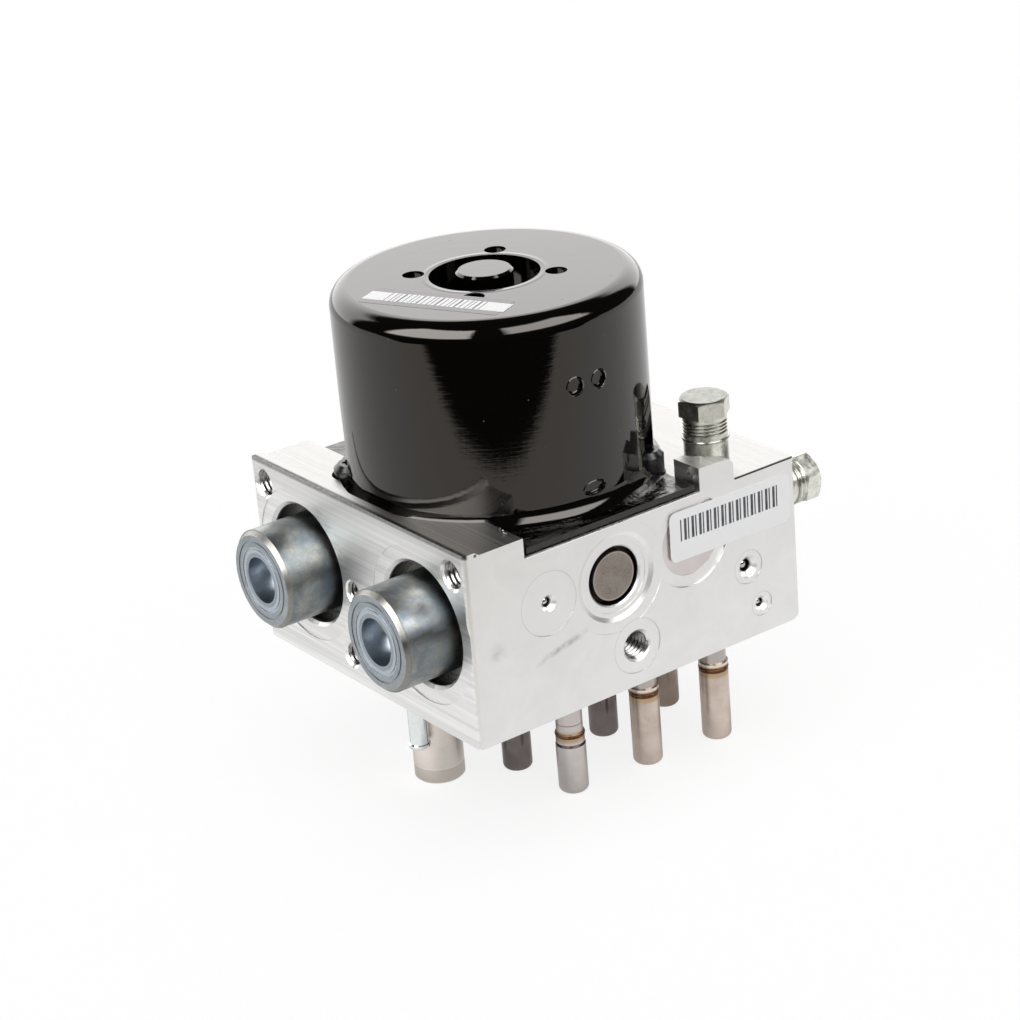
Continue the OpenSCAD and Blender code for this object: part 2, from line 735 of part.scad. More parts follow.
module motor_shaft() {
    color([0.66, 0.67, 0.69]) {
        translate([0, 0, cavity_floor + 1]) cylinder(r = pilot_r, h = cam_z - cavity_floor);
        translate([eccentric_offset, 0, cam_z]) cylinder(r = cam_r, h = cam_h);
        translate([0, 0, cam_z + cam_h - fit]) cylinder(r = shaft_r, h = core_z + core_h + 1 - cam_z - cam_h);
        translate([0, 0, core_z]) cylinder(r = shaft_top_r, h = bush_z + bush_h - 0.4 - core_z);
    }
}

module armature_core() {
    slot_in = core_r - 9;
    color([0.45, 0.46, 0.48]) translate([0, 0, core_z]) linear_extrude(core_h) difference() {
        circle(r = core_r, $fn = 96);
        circle(r = shaft_r + fit);
        for (i = [0 : core_slots - 1]) rotate((i + 0.5) * 360 / core_slots) {
            translate([slot_in, -1.7]) square([core_r - slot_in - 1.6, 3.4]);
            translate([slot_in, -0.7]) square([core_r - slot_in + cut, 1.4]);
        }
    }
}

// Wound coils: rounded end turns above and below the core, and the copper that fills its slots
module armature_windings() {
    end_w = winding_out - winding_in;
    color([0.72, 0.36, 0.16]) difference() {
        union() {
            for (z = [core_z - winding_h, core_z + core_h]) translate([0, 0, z]) rotate_extrude($fn = 96) {
                translate([winding_in, 0.8]) square([end_w, winding_h - 1.6]);
                translate([winding_in + 0.8, 0]) square([end_w - 1.6, winding_h]);
            }
            for (i = [0 : core_slots - 1]) rotate((i + 0.5) * 360 / core_slots)
                translate([core_r - 8.7, -1.5, core_z - 1]) cube([5.8, 3, core_h + 2]);
        }
        for (i = [0 : core_slots - 1]) rotate(i * 360 / core_slots) {
            translate([winding_in + 1, -0.6, core_z + core_h + winding_h - 1]) cube([end_w, 1.2, 2]);
            translate([winding_in + 1, -0.6, core_z - winding_h - 1]) cube([end_w, 1.2, 2]);
        }
    }
}

module commutator() {
    bars = 12;
    color([0.75, 0.45, 0.25]) translate([0, 0, commutator_z]) difference() {
        union() {
            cylinder(r = commutator_r, h = commutator_h);
            cylinder(r = shaft_r + 2, h = core_z - winding_h - commutator_z - 0.5);
        }
        translate([0, 0, -cut]) cylinder(r = shaft_r + fit, h = block_h);
        for (i = [0 : bars - 1]) rotate(i * 360 / bars)
            translate([commutator_r - 0.8, -0.25, -cut]) cube([2, 0.5, commutator_h + 2 * cut]);
    }
}

module eccentric_ring() {
    color([0.7, 0.71, 0.73]) translate([eccentric_offset, 0, cam_z + 0.3])
        tube(eccentric_ring_r, eccentric_ring_r - 1.6, cam_h - 0.6);
}

module eccentric_needles() {
    color([0.78, 0.79, 0.8]) translate([eccentric_offset, 0, cam_z + 0.8]) for (i = [0 : needle_count - 1])
        rotate(i * 360 / needle_count) translate([cam_r + needle_r + fit, 0, 0])
            cylinder(r = needle_r, h = cam_h - 1.6, $fn = 24);
}

// Places one pump half along its bore: z is the distance from the motor's axis
module pump_half(side) {
    translate([0, 0, pump_z]) rotate([side > 0 ? -90 : 90, 0, 0]) children();
}

module pump_cylinder() {
    color([0.62, 0.63, 0.65]) difference() {
        translate([0, 0, cylinder_in]) cylinder(r = pump_bore_r - fit, h = cylinder_l);
        translate([0, 0, cylinder_in - cut])
            cylinder(r = piston_r + pump_clearance, h = cylinder_l + 2 * cut);
        translate([0, 0, cylinder_in + 5]) difference() {
            cylinder(r = pump_bore_r + cut, h = 4);
            translate([0, 0, -cut]) cylinder(r = pump_bore_r - 1.3, h = 4 + 2 * cut);
        }
    }
}

module pump_piston() {
    color([0.74, 0.75, 0.76]) translate([0, 0, piston_reach]) difference() {
        union() {
            cylinder(r1 = piston_r - 0.6, r2 = piston_r, h = 0.6);
            translate([0, 0, 0.6]) cylinder(r = piston_r, h = piston_l - 0.6);
        }
        translate([0, 0, piston_l - 3]) cylinder(r = piston_r - 1, h = 4);
    }
}

module pump_spring(out) {
    seat = piston_reach + piston_l - 3;
    color([0.7, 0.7, 0.68]) translate([0, 0, seat])
        coil(piston_r - 1.5, spring_wire / 2, out - seat, 5, 12, 5);
}

// Stepped plug of a pump half: its nose shows at the face inside a ring groove
module pump_plug(face) {
    nose = 2.4;
    nose_in = face - pump_plug_in - nose;
    color([0.36, 0.31, 0.28]) difference() {
        union() {
            translate([0, 0, cylinder_out]) cylinder(r = pump_bore_r - fit, h = nose_in - cylinder_out);
            translate([0, 0, nose_in - fit]) cylinder(r = pump_plug_r, h = nose);
        }
        translate([0, 0, cylinder_out - cut]) cylinder(r = piston_r, h = cut + 2);
    }
}

module pump_cylinder_front() { pump_half(-1) pump_cylinder(); }
module pump_cylinder_rear() { pump_half(1) pump_cylinder(); }
module pump_piston_front() { pump_half(-1) pump_piston(); }
module pump_piston_rear() { pump_half(1) pump_piston(); }
module pump_spring_front() { pump_half(-1) pump_spring(spring_seat); }
module pump_spring_rear() { pump_half(1) pump_spring(spring_seat); }
module pump_plug_front() { pump_half(-1) pump_plug(front_face); }
module pump_plug_rear() { pump_half(1) pump_plug(rear_face); }

module damper_plug() {
    color([0.78, 0.75, 0.74]) from_front(damper_x, damper_z) difference() {
        translate([0, 0, damper_sink]) cylinder(r = damper_r, h = damper_cap_t);
        translate([0, 0, damper_sink + damper_face_t])
            cylinder(r = damper_r - damper_wall, h = 2 * damper_cap_t);
    }
}

module ball_plugs() {
    color([0.55, 0.55, 0.56]) for (p = PASSAGES) from_front(left_x + p[0], p[1])
        translate([0, 0, p[2] + passage_ball_in]) sphere(r = p[2] * passage_bore_share - 0.01, $fn = 32);
}

module accumulator_cup(y) {
    body_l = cup_out + accumulator_step;
    color([0.55, 0.58, 0.63]) translate([cup_end_x, y, accumulator_z]) rotate([0, 90, 0]) difference() {
        union() {
            cylinder(r1 = cup_r - cup_chamfer, r2 = cup_r - 0.2, h = cup_chamfer);
            translate([0, 0, cup_chamfer]) cylinder(r = cup_r, h = body_l - cup_chamfer);
            translate([0, 0, body_l - cup_flange_t])
                cylinder(r = accumulator_bore_r - 0.05, h = cup_flange_t);
        }
        difference() {
            translate([0, 0, cup_floor_t]) cylinder(r = cup_r - cup_wall, h = body_l);
            cylinder(r = cup_hole_r + cup_wall, h = cup_hole_straight + cup_wall);
            translate([0, 0, cup_hole_depth - cup_hole_r + 3]) sphere(r = cup_hole_r + cup_wall - 1.2);
        }
        translate([0, 0, -cut]) cylinder(r = cup_hole_r, h = cut + cup_hole_straight);
        translate([0, 0, cup_hole_straight]) sphere(r = cup_hole_r);
        for (r = cup_ring_radii) translate([0, 0, -cut])
            tube(r + cup_ring_cut, r - cup_ring_cut, cut + cup_ring_cut);
    }
}

module accumulator_cup_front() { accumulator_cup(accumulator_front_y); }
module accumulator_cup_rear() { accumulator_cup(accumulator_rear_y); }

module accumulator_piston(y) {
    inner_end = accumulator_floor - accumulator_back_gap - accumulator_piston_l;
    color([0.8, 0.8, 0.8]) from_left(y, accumulator_z) translate([0, 0, inner_end])
        difference() {
            cylinder(r = accumulator_piston_r, h = accumulator_piston_l);
            translate([0, 0, -cut]) cylinder(r = accumulator_piston_r - piston_rim, h = cut + piston_recess);
            translate([0, 0, accumulator_piston_l - seal_groove_in])
                tube(accumulator_piston_r + cut, accumulator_piston_r - seal_groove_depth, seal_groove_w);
        }
}

module accumulator_piston_front() { accumulator_piston(accumulator_front_y); }
module accumulator_piston_rear() { accumulator_piston(accumulator_rear_y); }

module accumulator_seal(y) {
    color([0.1, 0.1, 0.1]) from_left(y, accumulator_z)
        translate([0, 0, accumulator_floor - accumulator_back_gap - seal_groove_in + touch])
            tube(accumulator_piston_r + 0.03, seal_r, seal_groove_w - 2 * touch);
}

module accumulator_seal_front() { accumulator_seal(accumulator_front_y); }
module accumulator_seal_rear() { accumulator_seal(accumulator_rear_y); }

module accumulator_spring(y) {
    start = cup_end_x + cup_floor_t + touch;
    piston_end = left_x + accumulator_floor - accumulator_back_gap - accumulator_piston_l;
    finish = piston_end + piston_recess - touch;
    color([0.7, 0.7, 0.68]) translate([start, y, accumulator_z]) rotate([0, 90, 0])
        coil(accumulator_spring_r, accumulator_wire_r, finish - start, 5, 16, 6);
}

module accumulator_spring_front() { accumulator_spring(accumulator_front_y); }
module accumulator_spring_rear() { accumulator_spring(accumulator_rear_y); }

// Wire rings that hold the cups' flanges, open at one side
module accumulator_retaining_rings() {
    color([0.3, 0.3, 0.32]) for (y = [accumulator_front_y, accumulator_rear_y]) from_left(y, accumulator_z)
        translate([0, 0, cup_flange_in - ring_wire]) rotate(200) rotate_extrude(angle = 320)
            translate([accumulator_bore_r - ring_in, 0]) square([ring_in + 0.5, ring_wire - fit]);
}

// Turned plug with a chamfered hexagon head, its seat at z = 0 and its head pointing up
module port_plug(out, turn) {
    shank = out - plug_head_h;
    hex_r = plug_flats / 2 / cos(30);
    crown_r = plug_flats / 2 - 0.2;
    cone_r = 2 * hex_r - crown_r;
    cone_h = 2 * plug_chamfer;
    color([0.72, 0.72, 0.64]) {
        intersection() {
            translate([0, 0, shank]) rotate(turn) cylinder(r = hex_r, h = plug_head_h, $fn = 6);
            union() {
                translate([0, 0, shank - cut]) cylinder(r = cone_r, h = plug_head_h - cone_h + cut);
                translate([0, 0, out - cone_h]) cylinder(r1 = cone_r, r2 = crown_r, h = cone_h);
            }
        }
        difference() {
            translate([0, 0, -port_depth + 1]) cylinder(r = plug_r, h = shank + port_depth - 1 + fit);
            translate([0, 0, shank * ring_share]) tube(plug_r + cut, plug_r - ring_r, 2 * ring_r);
        }
    }
}

module port_plug_top() {
    translate([plug_top_x, plug_top_y, seat_z]) port_plug(plug_top_out, plug_top_turn);
}
module port_plug_side() {
    translate([right_x, plug_side_y, plug_side_z]) rotate([0, 90, 0])
        port_plug(plug_side_out, plug_side_turn);
}

module plug_ring(out) {
    color([0.5, 0.5, 0.45]) translate([0, 0, (out - plug_head_h) * ring_share + ring_r]) rotate_extrude()
        translate([plug_r, 0]) circle(r = ring_r - fit, $fn = 16);
}

module port_plug_rings() {
    translate([plug_top_x, plug_top_y, seat_z]) plug_ring(plug_top_out);
    translate([right_x, plug_side_y, plug_side_z]) rotate([0, 90, 0]) plug_ring(plug_side_out);
}

module pressure_sensor() {
    color([0.7, 0.66, 0.6]) translate([sensor_x, sensor_y, 0]) {
        translate([0, 0, sensor_edge - dome_l])
            cylinder(r = sensor_r, h = dome_l - sensor_edge + sensor_sink);
        translate([0, 0, -dome_l]) cylinder(r1 = sensor_r - sensor_edge, r2 = sensor_r, h = sensor_edge);
        translate([0, 0, -fit]) cylinder(r = sensor_r - sensor_step - fit, h = sensor_l);
    }
}

// Steps of a dome's outside that stand proud of its neck: radius, start and end below the block.
// Kind 0 is plain, kind 1 has a bare neck, kind 2 a narrow upper part, a collar and a capped end
function dome_steps(kind) =
    kind == 1 ? [[dome_r, neck_l, dome_l]] :
    kind == 2 ? [
        [neck_r + 0.05, 0, dome_l - cap_l - cap_groove_w - collar_l],
        [dome_r - 0.15, dome_l - cap_l - cap_groove_w - collar_l, dome_l - cap_l - cap_groove_w],
        [dome_r, dome_l - cap_l, dome_l]
    ] : [[dome_r, 0, dome_l]];

module dome_outside(kind) {
    foot = dome_edge - dome_l;
    rotate_extrude() {
        translate([0, foot]) square([neck_r, -foot]);
        for (s = dome_steps(kind)) translate([0, max(-s[2], foot)]) square([s[0], -s[1] - max(-s[2], foot)]);
        translate([0, -dome_l]) square([dome_r - dome_edge, dome_edge + fit]);
        translate([dome_r - dome_edge, foot]) circle(r = dome_edge, $fn = 32);
    }
}

module valve_dome(index) {
    v = VALVES[index];
    inner = neck_r - dome_wall;
    color([0.6, 0.55, 0.5]) translate([left_x + v[0], front_y + v[1], 0]) difference() {
        dome_outside(v[2]);
        translate([0, 0, -dome_l + dome_wall]) cylinder(r = inner, h = dome_l + cut);
    }
}

// Iron armature that slides inside a dome
module valve_armature(index) {
    v = VALVES[index];
    radius = neck_r - dome_wall - 0.06;
    color([0.5, 0.5, 0.52]) translate([left_x + v[0], front_y + v[1], -dome_l + dome_wall + armature_gap])
        difference() {
            cylinder(r = radius, h = dome_l - dome_wall - spigot_l - valve_travel - 2 * armature_gap);
            translate([radius - 0.5, -0.5, -cut]) cube([2, 1, dome_l]);
        }
}

module valve_dome_1() { valve_dome(0); }
module valve_dome_2() { valve_dome(1); }
module valve_dome_3() { valve_dome(2); }
module valve_dome_4() { valve_dome(3); }
module valve_dome_5() { valve_dome(4); }
module valve_dome_6() { valve_dome(5); }
module valve_dome_7() { valve_dome(6); }
module valve_dome_8() { valve_dome(7); }
module valve_armature_1() { valve_armature(0); }
module valve_armature_2() { valve_armature(1); }
module valve_armature_3() { valve_armature(2); }
module valve_armature_4() { valve_armature(3); }
module valve_armature_5() { valve_armature(4); }
module valve_armature_6() { valve_armature(5); }
module valve_armature_7() { valve_armature(6); }
module valve_armature_8() { valve_armature(7); }

// Turned seat bodies in the block's bores, with a spigot that closes each dome
module valve_seats() {
    color([0.65, 0.66, 0.68]) for (v = VALVES) translate([left_x + v[0], front_y + v[1], 0]) difference() {
        union() {
            cylinder(r = valve_bore_r - fit, h = valve_bore_depth - seat_drop);
            translate([0, 0, -spigot_l]) cylinder(r = neck_r - dome_wall - fit, h = spigot_l + fit);
        }
        translate([0, 0, -spigot_l - cut]) cylinder(r = seat_hole_r, h = spigot_l + valve_bore_depth + cut);
        translate([0, 0, -spigot_l - cut]) cylinder(r = valve_spring_hole_r, h = cut + valve_spring_hole_l);
    }
}

module valve_springs() {
    color([0.75, 0.75, 0.73]) for (v = VALVES)
        translate([left_x + v[0], front_y + v[1], -spigot_l - touch])
            coil(valve_spring_r, valve_wire_r, valve_spring_hole_l - 2 * touch, 3, 8, 4);
}

valve_block();
motor_can();
motor_screws();
motor_magnets();
upper_bush();
bearing_outer_ring();
bearing_inner_ring();
bearing_balls();
brush_plate();
brushes();
brush_springs();
motor_lead_pins();
motor_lead_tube();
motor_shaft();
armature_core();
armature_windings();
commutator();
eccentric_ring();
eccentric_needles();
pump_cylinder_front();
pump_cylinder_rear();
pump_piston_front();
pump_piston_rear();
pump_spring_front();
pump_spring_rear();
pump_plug_front();
pump_plug_rear();
damper_plug();
ball_plugs();
accumulator_cup_front();
accumulator_cup_rear();
accumulator_piston_front();
accumulator_piston_rear();
accumulator_seal_front();
accumulator_seal_rear();
accumulator_spring_front();
accumulator_spring_rear();
accumulator_retaining_rings();
port_plug_top();
port_plug_side();
port_plug_rings();
pressure_sensor();
valve_dome_1();
valve_dome_2();
valve_dome_3();
valve_dome_4();
valve_dome_5();
valve_dome_6();
valve_dome_7();
valve_dome_8();
valve_armature_1();
valve_armature_2();
valve_armature_3();
valve_armature_4();
valve_armature_5();
valve_armature_6();
valve_armature_7();
valve_armature_8();
valve_seats();
valve_springs();
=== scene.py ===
import math
import bpy
from mathutils import Matrix, Vector


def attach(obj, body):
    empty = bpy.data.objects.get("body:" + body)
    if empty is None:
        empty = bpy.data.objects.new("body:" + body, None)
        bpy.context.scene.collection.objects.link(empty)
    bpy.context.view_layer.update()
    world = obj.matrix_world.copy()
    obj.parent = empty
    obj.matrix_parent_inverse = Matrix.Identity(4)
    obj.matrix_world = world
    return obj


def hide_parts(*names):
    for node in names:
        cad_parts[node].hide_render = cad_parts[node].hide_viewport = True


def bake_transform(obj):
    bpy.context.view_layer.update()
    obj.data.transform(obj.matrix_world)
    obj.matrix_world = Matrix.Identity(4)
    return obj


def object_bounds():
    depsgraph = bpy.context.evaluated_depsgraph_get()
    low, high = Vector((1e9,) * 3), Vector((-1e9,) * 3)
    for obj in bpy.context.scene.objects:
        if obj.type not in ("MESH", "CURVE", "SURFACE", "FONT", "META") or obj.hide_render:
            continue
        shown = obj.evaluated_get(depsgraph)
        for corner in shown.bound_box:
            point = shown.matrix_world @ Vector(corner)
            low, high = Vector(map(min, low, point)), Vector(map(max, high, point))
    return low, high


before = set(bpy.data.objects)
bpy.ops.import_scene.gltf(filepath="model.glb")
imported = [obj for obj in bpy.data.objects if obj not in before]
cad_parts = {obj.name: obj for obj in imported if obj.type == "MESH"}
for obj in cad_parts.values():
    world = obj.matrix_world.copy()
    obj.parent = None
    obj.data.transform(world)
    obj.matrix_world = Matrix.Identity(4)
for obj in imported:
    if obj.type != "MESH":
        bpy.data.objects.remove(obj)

cad_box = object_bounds()
MM = 0.001


# The valve block: a bar of extruded aluminium, sawn to length and milled on its faces, with the
# bores for pumps, accumulators and valves. Rings of a milling cutter surround the mouths of the bores.
# In the colour, their outlines on the front face are painted shade, and the rings at the accumulator
# bores on the left are painted highlights. Painted shade also darkens the insides of the bores and a
# few edges, and a painted highlight lines the slot's front edge.

LEFT_X, RIGHT_X, FRONT_Y, REAR_Y = -43.5, 57.5, -44.0, 46.6
LIP_END_X = -40.2
SEAT_Z, HORN_Z, LIP_Z = 44.0, 49.1, 50.0
CUP_Y = {"front": -23.8, "rear": 26.4}
CUP_Z = 26.2


def add_node(tree, kind, inputs=None, **settings):
    node = tree.nodes.new(kind)
    for name, value in settings.items():
        setattr(node, name, value)
    for name, value in (inputs or {}).items():
        node.inputs[name].default_value = value
    return node


def feed(tree, socket, value):
    """Links a socket to an output, or gives it a plain value."""
    if isinstance(value, bpy.types.NodeSocket):
        tree.links.new(value, socket)
    else:
        socket.default_value = (*value, 1) if socket.type == "RGBA" else value


def calc(tree, operation, *values, clamp=False):
    node = add_node(tree, "ShaderNodeMath", operation=operation, use_clamp=clamp)
    for socket, value in zip(node.inputs, values):
        feed(tree, socket, value)
    return node.outputs[0]


def vector_calc(tree, operation, *values, output="Vector"):
    node = add_node(tree, "ShaderNodeVectorMath", operation=operation)
    for socket, value in zip(node.inputs, values):
        feed(tree, socket, value)
    return node.outputs[output]


def noise(tree, place, scale, detail, roughness=0.5, distortion=0.0):
    node = add_node(tree, "ShaderNodeTexNoise",
                    {"Detail": detail, "Roughness": roughness, "Distortion": distortion})
    feed(tree, node.inputs["Vector"], place)
    feed(tree, node.inputs["Scale"], scale)
    return node.outputs[0]


def contrasted(tree, value, amount):
    """Spreads a value about one half and clips it to 0 and 1."""
    return calc(tree, "MULTIPLY_ADD", calc(tree, "SUBTRACT", value, 0.5), amount, 0.5, clamp=True)


def new_group(name, inputs, *outputs):
    """A node group with vector and number inputs and number outputs."""
    tree = bpy.data.node_groups.new(name, "ShaderNodeTree")
    for socket, value in inputs.items():
        kind = "NodeSocketVector" if isinstance(value, tuple) else "NodeSocketFloat"
        tree.interface.new_socket(name=socket, in_out="INPUT", socket_type=kind).default_value = value
    for socket in outputs:
        tree.interface.new_socket(name=socket, in_out="OUTPUT", socket_type="NodeSocketFloat")
    return tree, add_node(tree, "NodeGroupInput").outputs, add_node(tree, "NodeGroupOutput").inputs


# Parallel lines, as a saw, a drawing die or a milling cutter leaves them
grain, given, result = new_group(
    "tool_lines", {"Position": (0, 0, 0), "Stretch": (1, 1, 1), "Contrast": 1.0}, "Height", "Tone")
scaled = vector_calc(grain, "MULTIPLY", given["Position"], given["Stretch"])
grain.links.new(noise(grain, scaled, 1.0, 4.0, 0.65), result["Height"])
grain.links.new(contrasted(grain, noise(grain, scaled, 0.22, 2.0), given["Contrast"]), result["Tone"])

# Soft uneven patches, as on plating, handled metal and old castings
patches, given, result = new_group(
    "patches", {"Position": (0, 0, 0), "Scale": 100.0, "Contrast": 1.5}, "Mask")
cloud = noise(patches, given["Position"], given["Scale"], 5.0, 0.6, 0.4)
patches.links.new(contrasted(patches, cloud, given["Contrast"]), result["Mask"])

# Turning marks: rings round an axis. Plane keeps the two directions that lie across the axis.
rings, given, result = new_group(
    "turned_rings", {"Position": (0, 0, 0), "Centre": (0, 0, 0), "Plane": (1, 1, 0), "Pitch": 0.0005},
    "Height", "Radius")
flat = vector_calc(rings, "MULTIPLY", vector_calc(rings, "SUBTRACT", given["Position"], given["Centre"]),
                   given["Plane"])
reach = vector_calc(rings, "LENGTH", flat, output="Value")
uneven = add_node(rings, "ShaderNodeTexNoise", {"Scale": 1.0, "Detail": 3.0, "Roughness": 0.7},
                  noise_dimensions="1D")
rings.links.new(calc(rings, "DIVIDE", reach, given["Pitch"]), uneven.inputs["W"])
rings.links.new(uneven.outputs[0], result["Height"])
rings.links.new(reach, result["Radius"])

# 1 where a value lies between Low and High, with a soft edge on both sides
strip, given, result = new_group(
    "strip_mask", {"Value": 0.0, "Low": 0.0, "High": 1.0, "Soft": 0.0001}, "Mask")
rise, fall = (calc(strip, "DIVIDE", calc(strip, "SUBTRACT", given[first], given[second]), given["Soft"],
                   clamp=True) for first, second in (("Value", "Low"), ("High", "Value")))
strip.links.new(calc(strip, "MULTIPLY", rise, fall), result["Mask"])


def new_material(name, metallic, ior=1.5, coat=0.0):
    """A material with its node tree, its shader and the object coordinates."""
    material = bpy.data.materials.new(name)
    material.use_nodes = True
    tree = material.node_tree
    shader = tree.nodes["Principled BSDF"]
    shader.inputs["Metallic"].default_value = metallic
    shader.inputs["IOR"].default_value = ior
    if coat:
        shader.inputs["Coat Weight"].default_value = coat
        shader.inputs["Coat Roughness"].default_value = 0.08
    return material, tree, shader, add_node(tree, "ShaderNodeTexCoord").outputs["Object"]


def use_group(tree, group, place, **values):
    node = add_node(tree, "ShaderNodeGroup", values, node_tree=group)
    tree.links.new(place, node.inputs["Position"])
    return node.outputs


def between(tree, value, low, high, start=0.0, end=1.0, **settings):
    """Maps start to low and end to high."""
    node = add_node(tree, "ShaderNodeMapRange",
                    {"From Min": start, "From Max": end, "To Min": low, "To Max": high}, **settings)
    tree.links.new(value, node.inputs["Value"])
    return node.outputs["Result"]


def blend(tree, mask, first, second, kind="RGBA"):
    """The first colour or value where the mask is 0, the second where it is 1."""
    node = add_node(tree, "ShaderNodeMix", data_type=kind)
    for name, value in (("Factor", mask), ("A", first), ("B", second)):
        feed(tree, node.inputs[name], value)
    return node.outputs["Result"]


def set_surface(tree, shader, colour, roughness, height, depth):
    """Links colour and roughness to the shader, and a bump of a depth in metres."""
    node = add_node(tree, "ShaderNodeBump", {"Strength": 1.0, "Distance": depth})
    tree.links.new(height, node.inputs["Height"])
    tree.links.new(node.outputs["Normal"], shader.inputs["Normal"])
    tree.links.new(colour, shader.inputs["Base Color"])
    tree.links.new(roughness, shader.inputs["Roughness"])


def dress(material, *nodes):
    for name in nodes:
        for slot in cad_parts[name].material_slots:
            slot.material = material


def face_mask(tree, place, axis):
    """1 on the faces that look along the axis, 0 elsewhere."""
    split = add_node(tree, "ShaderNodeSeparateXYZ")
    tree.links.new(place.node.outputs["Normal"], split.inputs[0])
    return calc(tree, "GREATER_THAN", calc(tree, "ABSOLUTE", split.outputs[axis]), 0.7)


def strip_mask(tree, value, low, high, soft):
    """The strip_mask group, with its limits in millimetres."""
    node = add_node(tree, "ShaderNodeGroup", {"Low": low * MM, "High": high * MM, "Soft": soft * MM},
                    node_tree=strip)
    tree.links.new(value, node.inputs["Value"])
    return node.outputs["Mask"]


def times(tree, *masks):
    total = masks[0]
    for mask in masks[1:]:
        total = calc(tree, "MULTIPLY", total, mask)
    return total


def along(tree, place, direction):
    """Distance along a direction, in metres."""
    return vector_calc(tree, "DOT_PRODUCT", place, direction, output="Value")


def radius_from(tree, place, centre, plane=(1, 1, 0)):
    """Distance from a centre in millimetres, within a plane; in metres."""
    return use_group(tree, rings, place, Centre=[v * MM for v in centre], Plane=plane)["Radius"]


block_metal, tree, shader, place = new_material("block_aluminium", 1.0)
up_mask = face_mask(tree, place, "Z")
side_mask = face_mask(tree, place, "X")
along_y = use_group(tree, grain, place, Stretch=(9000, 60, 5200), Contrast=3.0)
along_x = use_group(tree, grain, place, Stretch=(260, 2600, 3400), Contrast=2.0)
cloudy = use_group(tree, patches, place, Scale=70.0, Contrast=1.6)["Mask"]
height = blend(tree, side_mask, along_x["Height"], along_y["Height"], "FLOAT")
flat_tone = blend(tree, up_mask, cloudy, along_y["Tone"], "FLOAT")
tone = blend(tree, side_mask, flat_tone, along_y["Tone"], "FLOAT")
plain = blend(tree, cloudy, (0.77, 0.765, 0.755), (0.90, 0.895, 0.88))
upper = blend(tree, tone, (0.43, 0.422, 0.41), (0.56, 0.55, 0.535))
sawn = blend(tree, tone, (0.74, 0.735, 0.725), (0.92, 0.915, 0.90))
colour = blend(tree, up_mask, blend(tree, side_mask, plain, sawn), upper)
x_way, y_way, z_way = (along(tree, place, way) for way in ((1, 0, 0), (0, 1, 0), (0, 0, 1)))
# Patches that break up the dark lines painted along the left face's top edge and the lip's foot
patchy_breaks = use_group(tree, patches, place, Scale=900.0, Contrast=5.0)["Mask"]
# A dark line painted along the top of the left face
left_edge = times(tree, strip_mask(tree, x_way, LEFT_X - 0.4, LEFT_X + 1.4, 0.6),
                  strip_mask(tree, z_way, LIP_Z - 1.3, LIP_Z + 0.8, 0.6), between(tree, patchy_breaks, 1.0, 0.8))
edge_shade = times(tree, strip_mask(tree, x_way, LEFT_X - 1, LEFT_X + 0.3, 0.1),
                   strip_mask(tree, z_way, LIP_Z - 5.5, LIP_Z + 3, 4), 0.3)
# Painted contact shadow: a dark line on the horn's top at the foot of the lip's step
painted_lip_shadow = times(tree, strip_mask(tree, x_way, LIP_END_X - 0.5, LIP_END_X + 0.5, 0.25),
                 strip_mask(tree, z_way, HORN_Z - 0.3, HORN_Z + 0.5, 0.1), between(tree, patchy_breaks, 1.0, 0.6))
seat_edge = times(tree, strip_mask(tree, y_way, FRONT_Y - 0.3, FRONT_Y + 0.5, 0.15),
                  strip_mask(tree, z_way, SEAT_Z - 0.4, SEAT_Z + 0.3, 0.1))
# Painted shadow: a dark line along the front edge of the slot floor on the block's right part
painted_edge_shadow = times(tree, seat_edge, strip_mask(tree, x_way, 37.9, 60, 0.3))
# Painted highlight: a bright line along the slot floor's front edge, beside the burr piece
painted_edge_highlight = times(tree, seat_edge, strip_mask(tree, x_way, -26, 27, 0.3))
across_scuff = calc(tree, "MULTIPLY_ADD", cloudy, 0.0022, along(tree, place, (-0.235, 0, 0.972)))
rubbed = use_group(tree, patches, place, Scale=330.0, Contrast=4.0)["Mask"]
on_front = strip_mask(tree, y_way, FRONT_Y - 1, FRONT_Y + 0.2, 0.1)
scuff = times(tree, strip_mask(tree, across_scuff, 21.2, 23.6, 1.0),
              strip_mask(tree, x_way, -26, -9, 5), on_front, rubbed, 0.5)
smear = times(tree, strip_mask(tree, x_way, -39, -33, 2), strip_mask(tree, z_way, 20, 26, 3),
              on_front, rubbed, 0.3)
# Painted shade: the bores' inner walls, more than a millimetre in from the block's faces, are painted near
# black
inside = times(tree, strip_mask(tree, x_way, LEFT_X + 1, RIGHT_X - 1, 0.9),
               strip_mask(tree, y_way, FRONT_Y + 1.1, REAR_Y - 1.1, 0.9),
               strip_mask(tree, z_way, 0.6, SEAT_Z - 0.6, 0.4), 0.96)
# Painted highlights: a bright ring round the mouth of each accumulator bore in the left face
mouths = [times(tree, strip_mask(tree, radius_from(tree, place, (0, y, CUP_Z), (0, 1, 1)), 13.9, 15.6, 0.3),
                strip_mask(tree, x_way, LEFT_X - 0.5, LEFT_X + 0.9, 0.2), 0.75) for y in CUP_Y.values()]
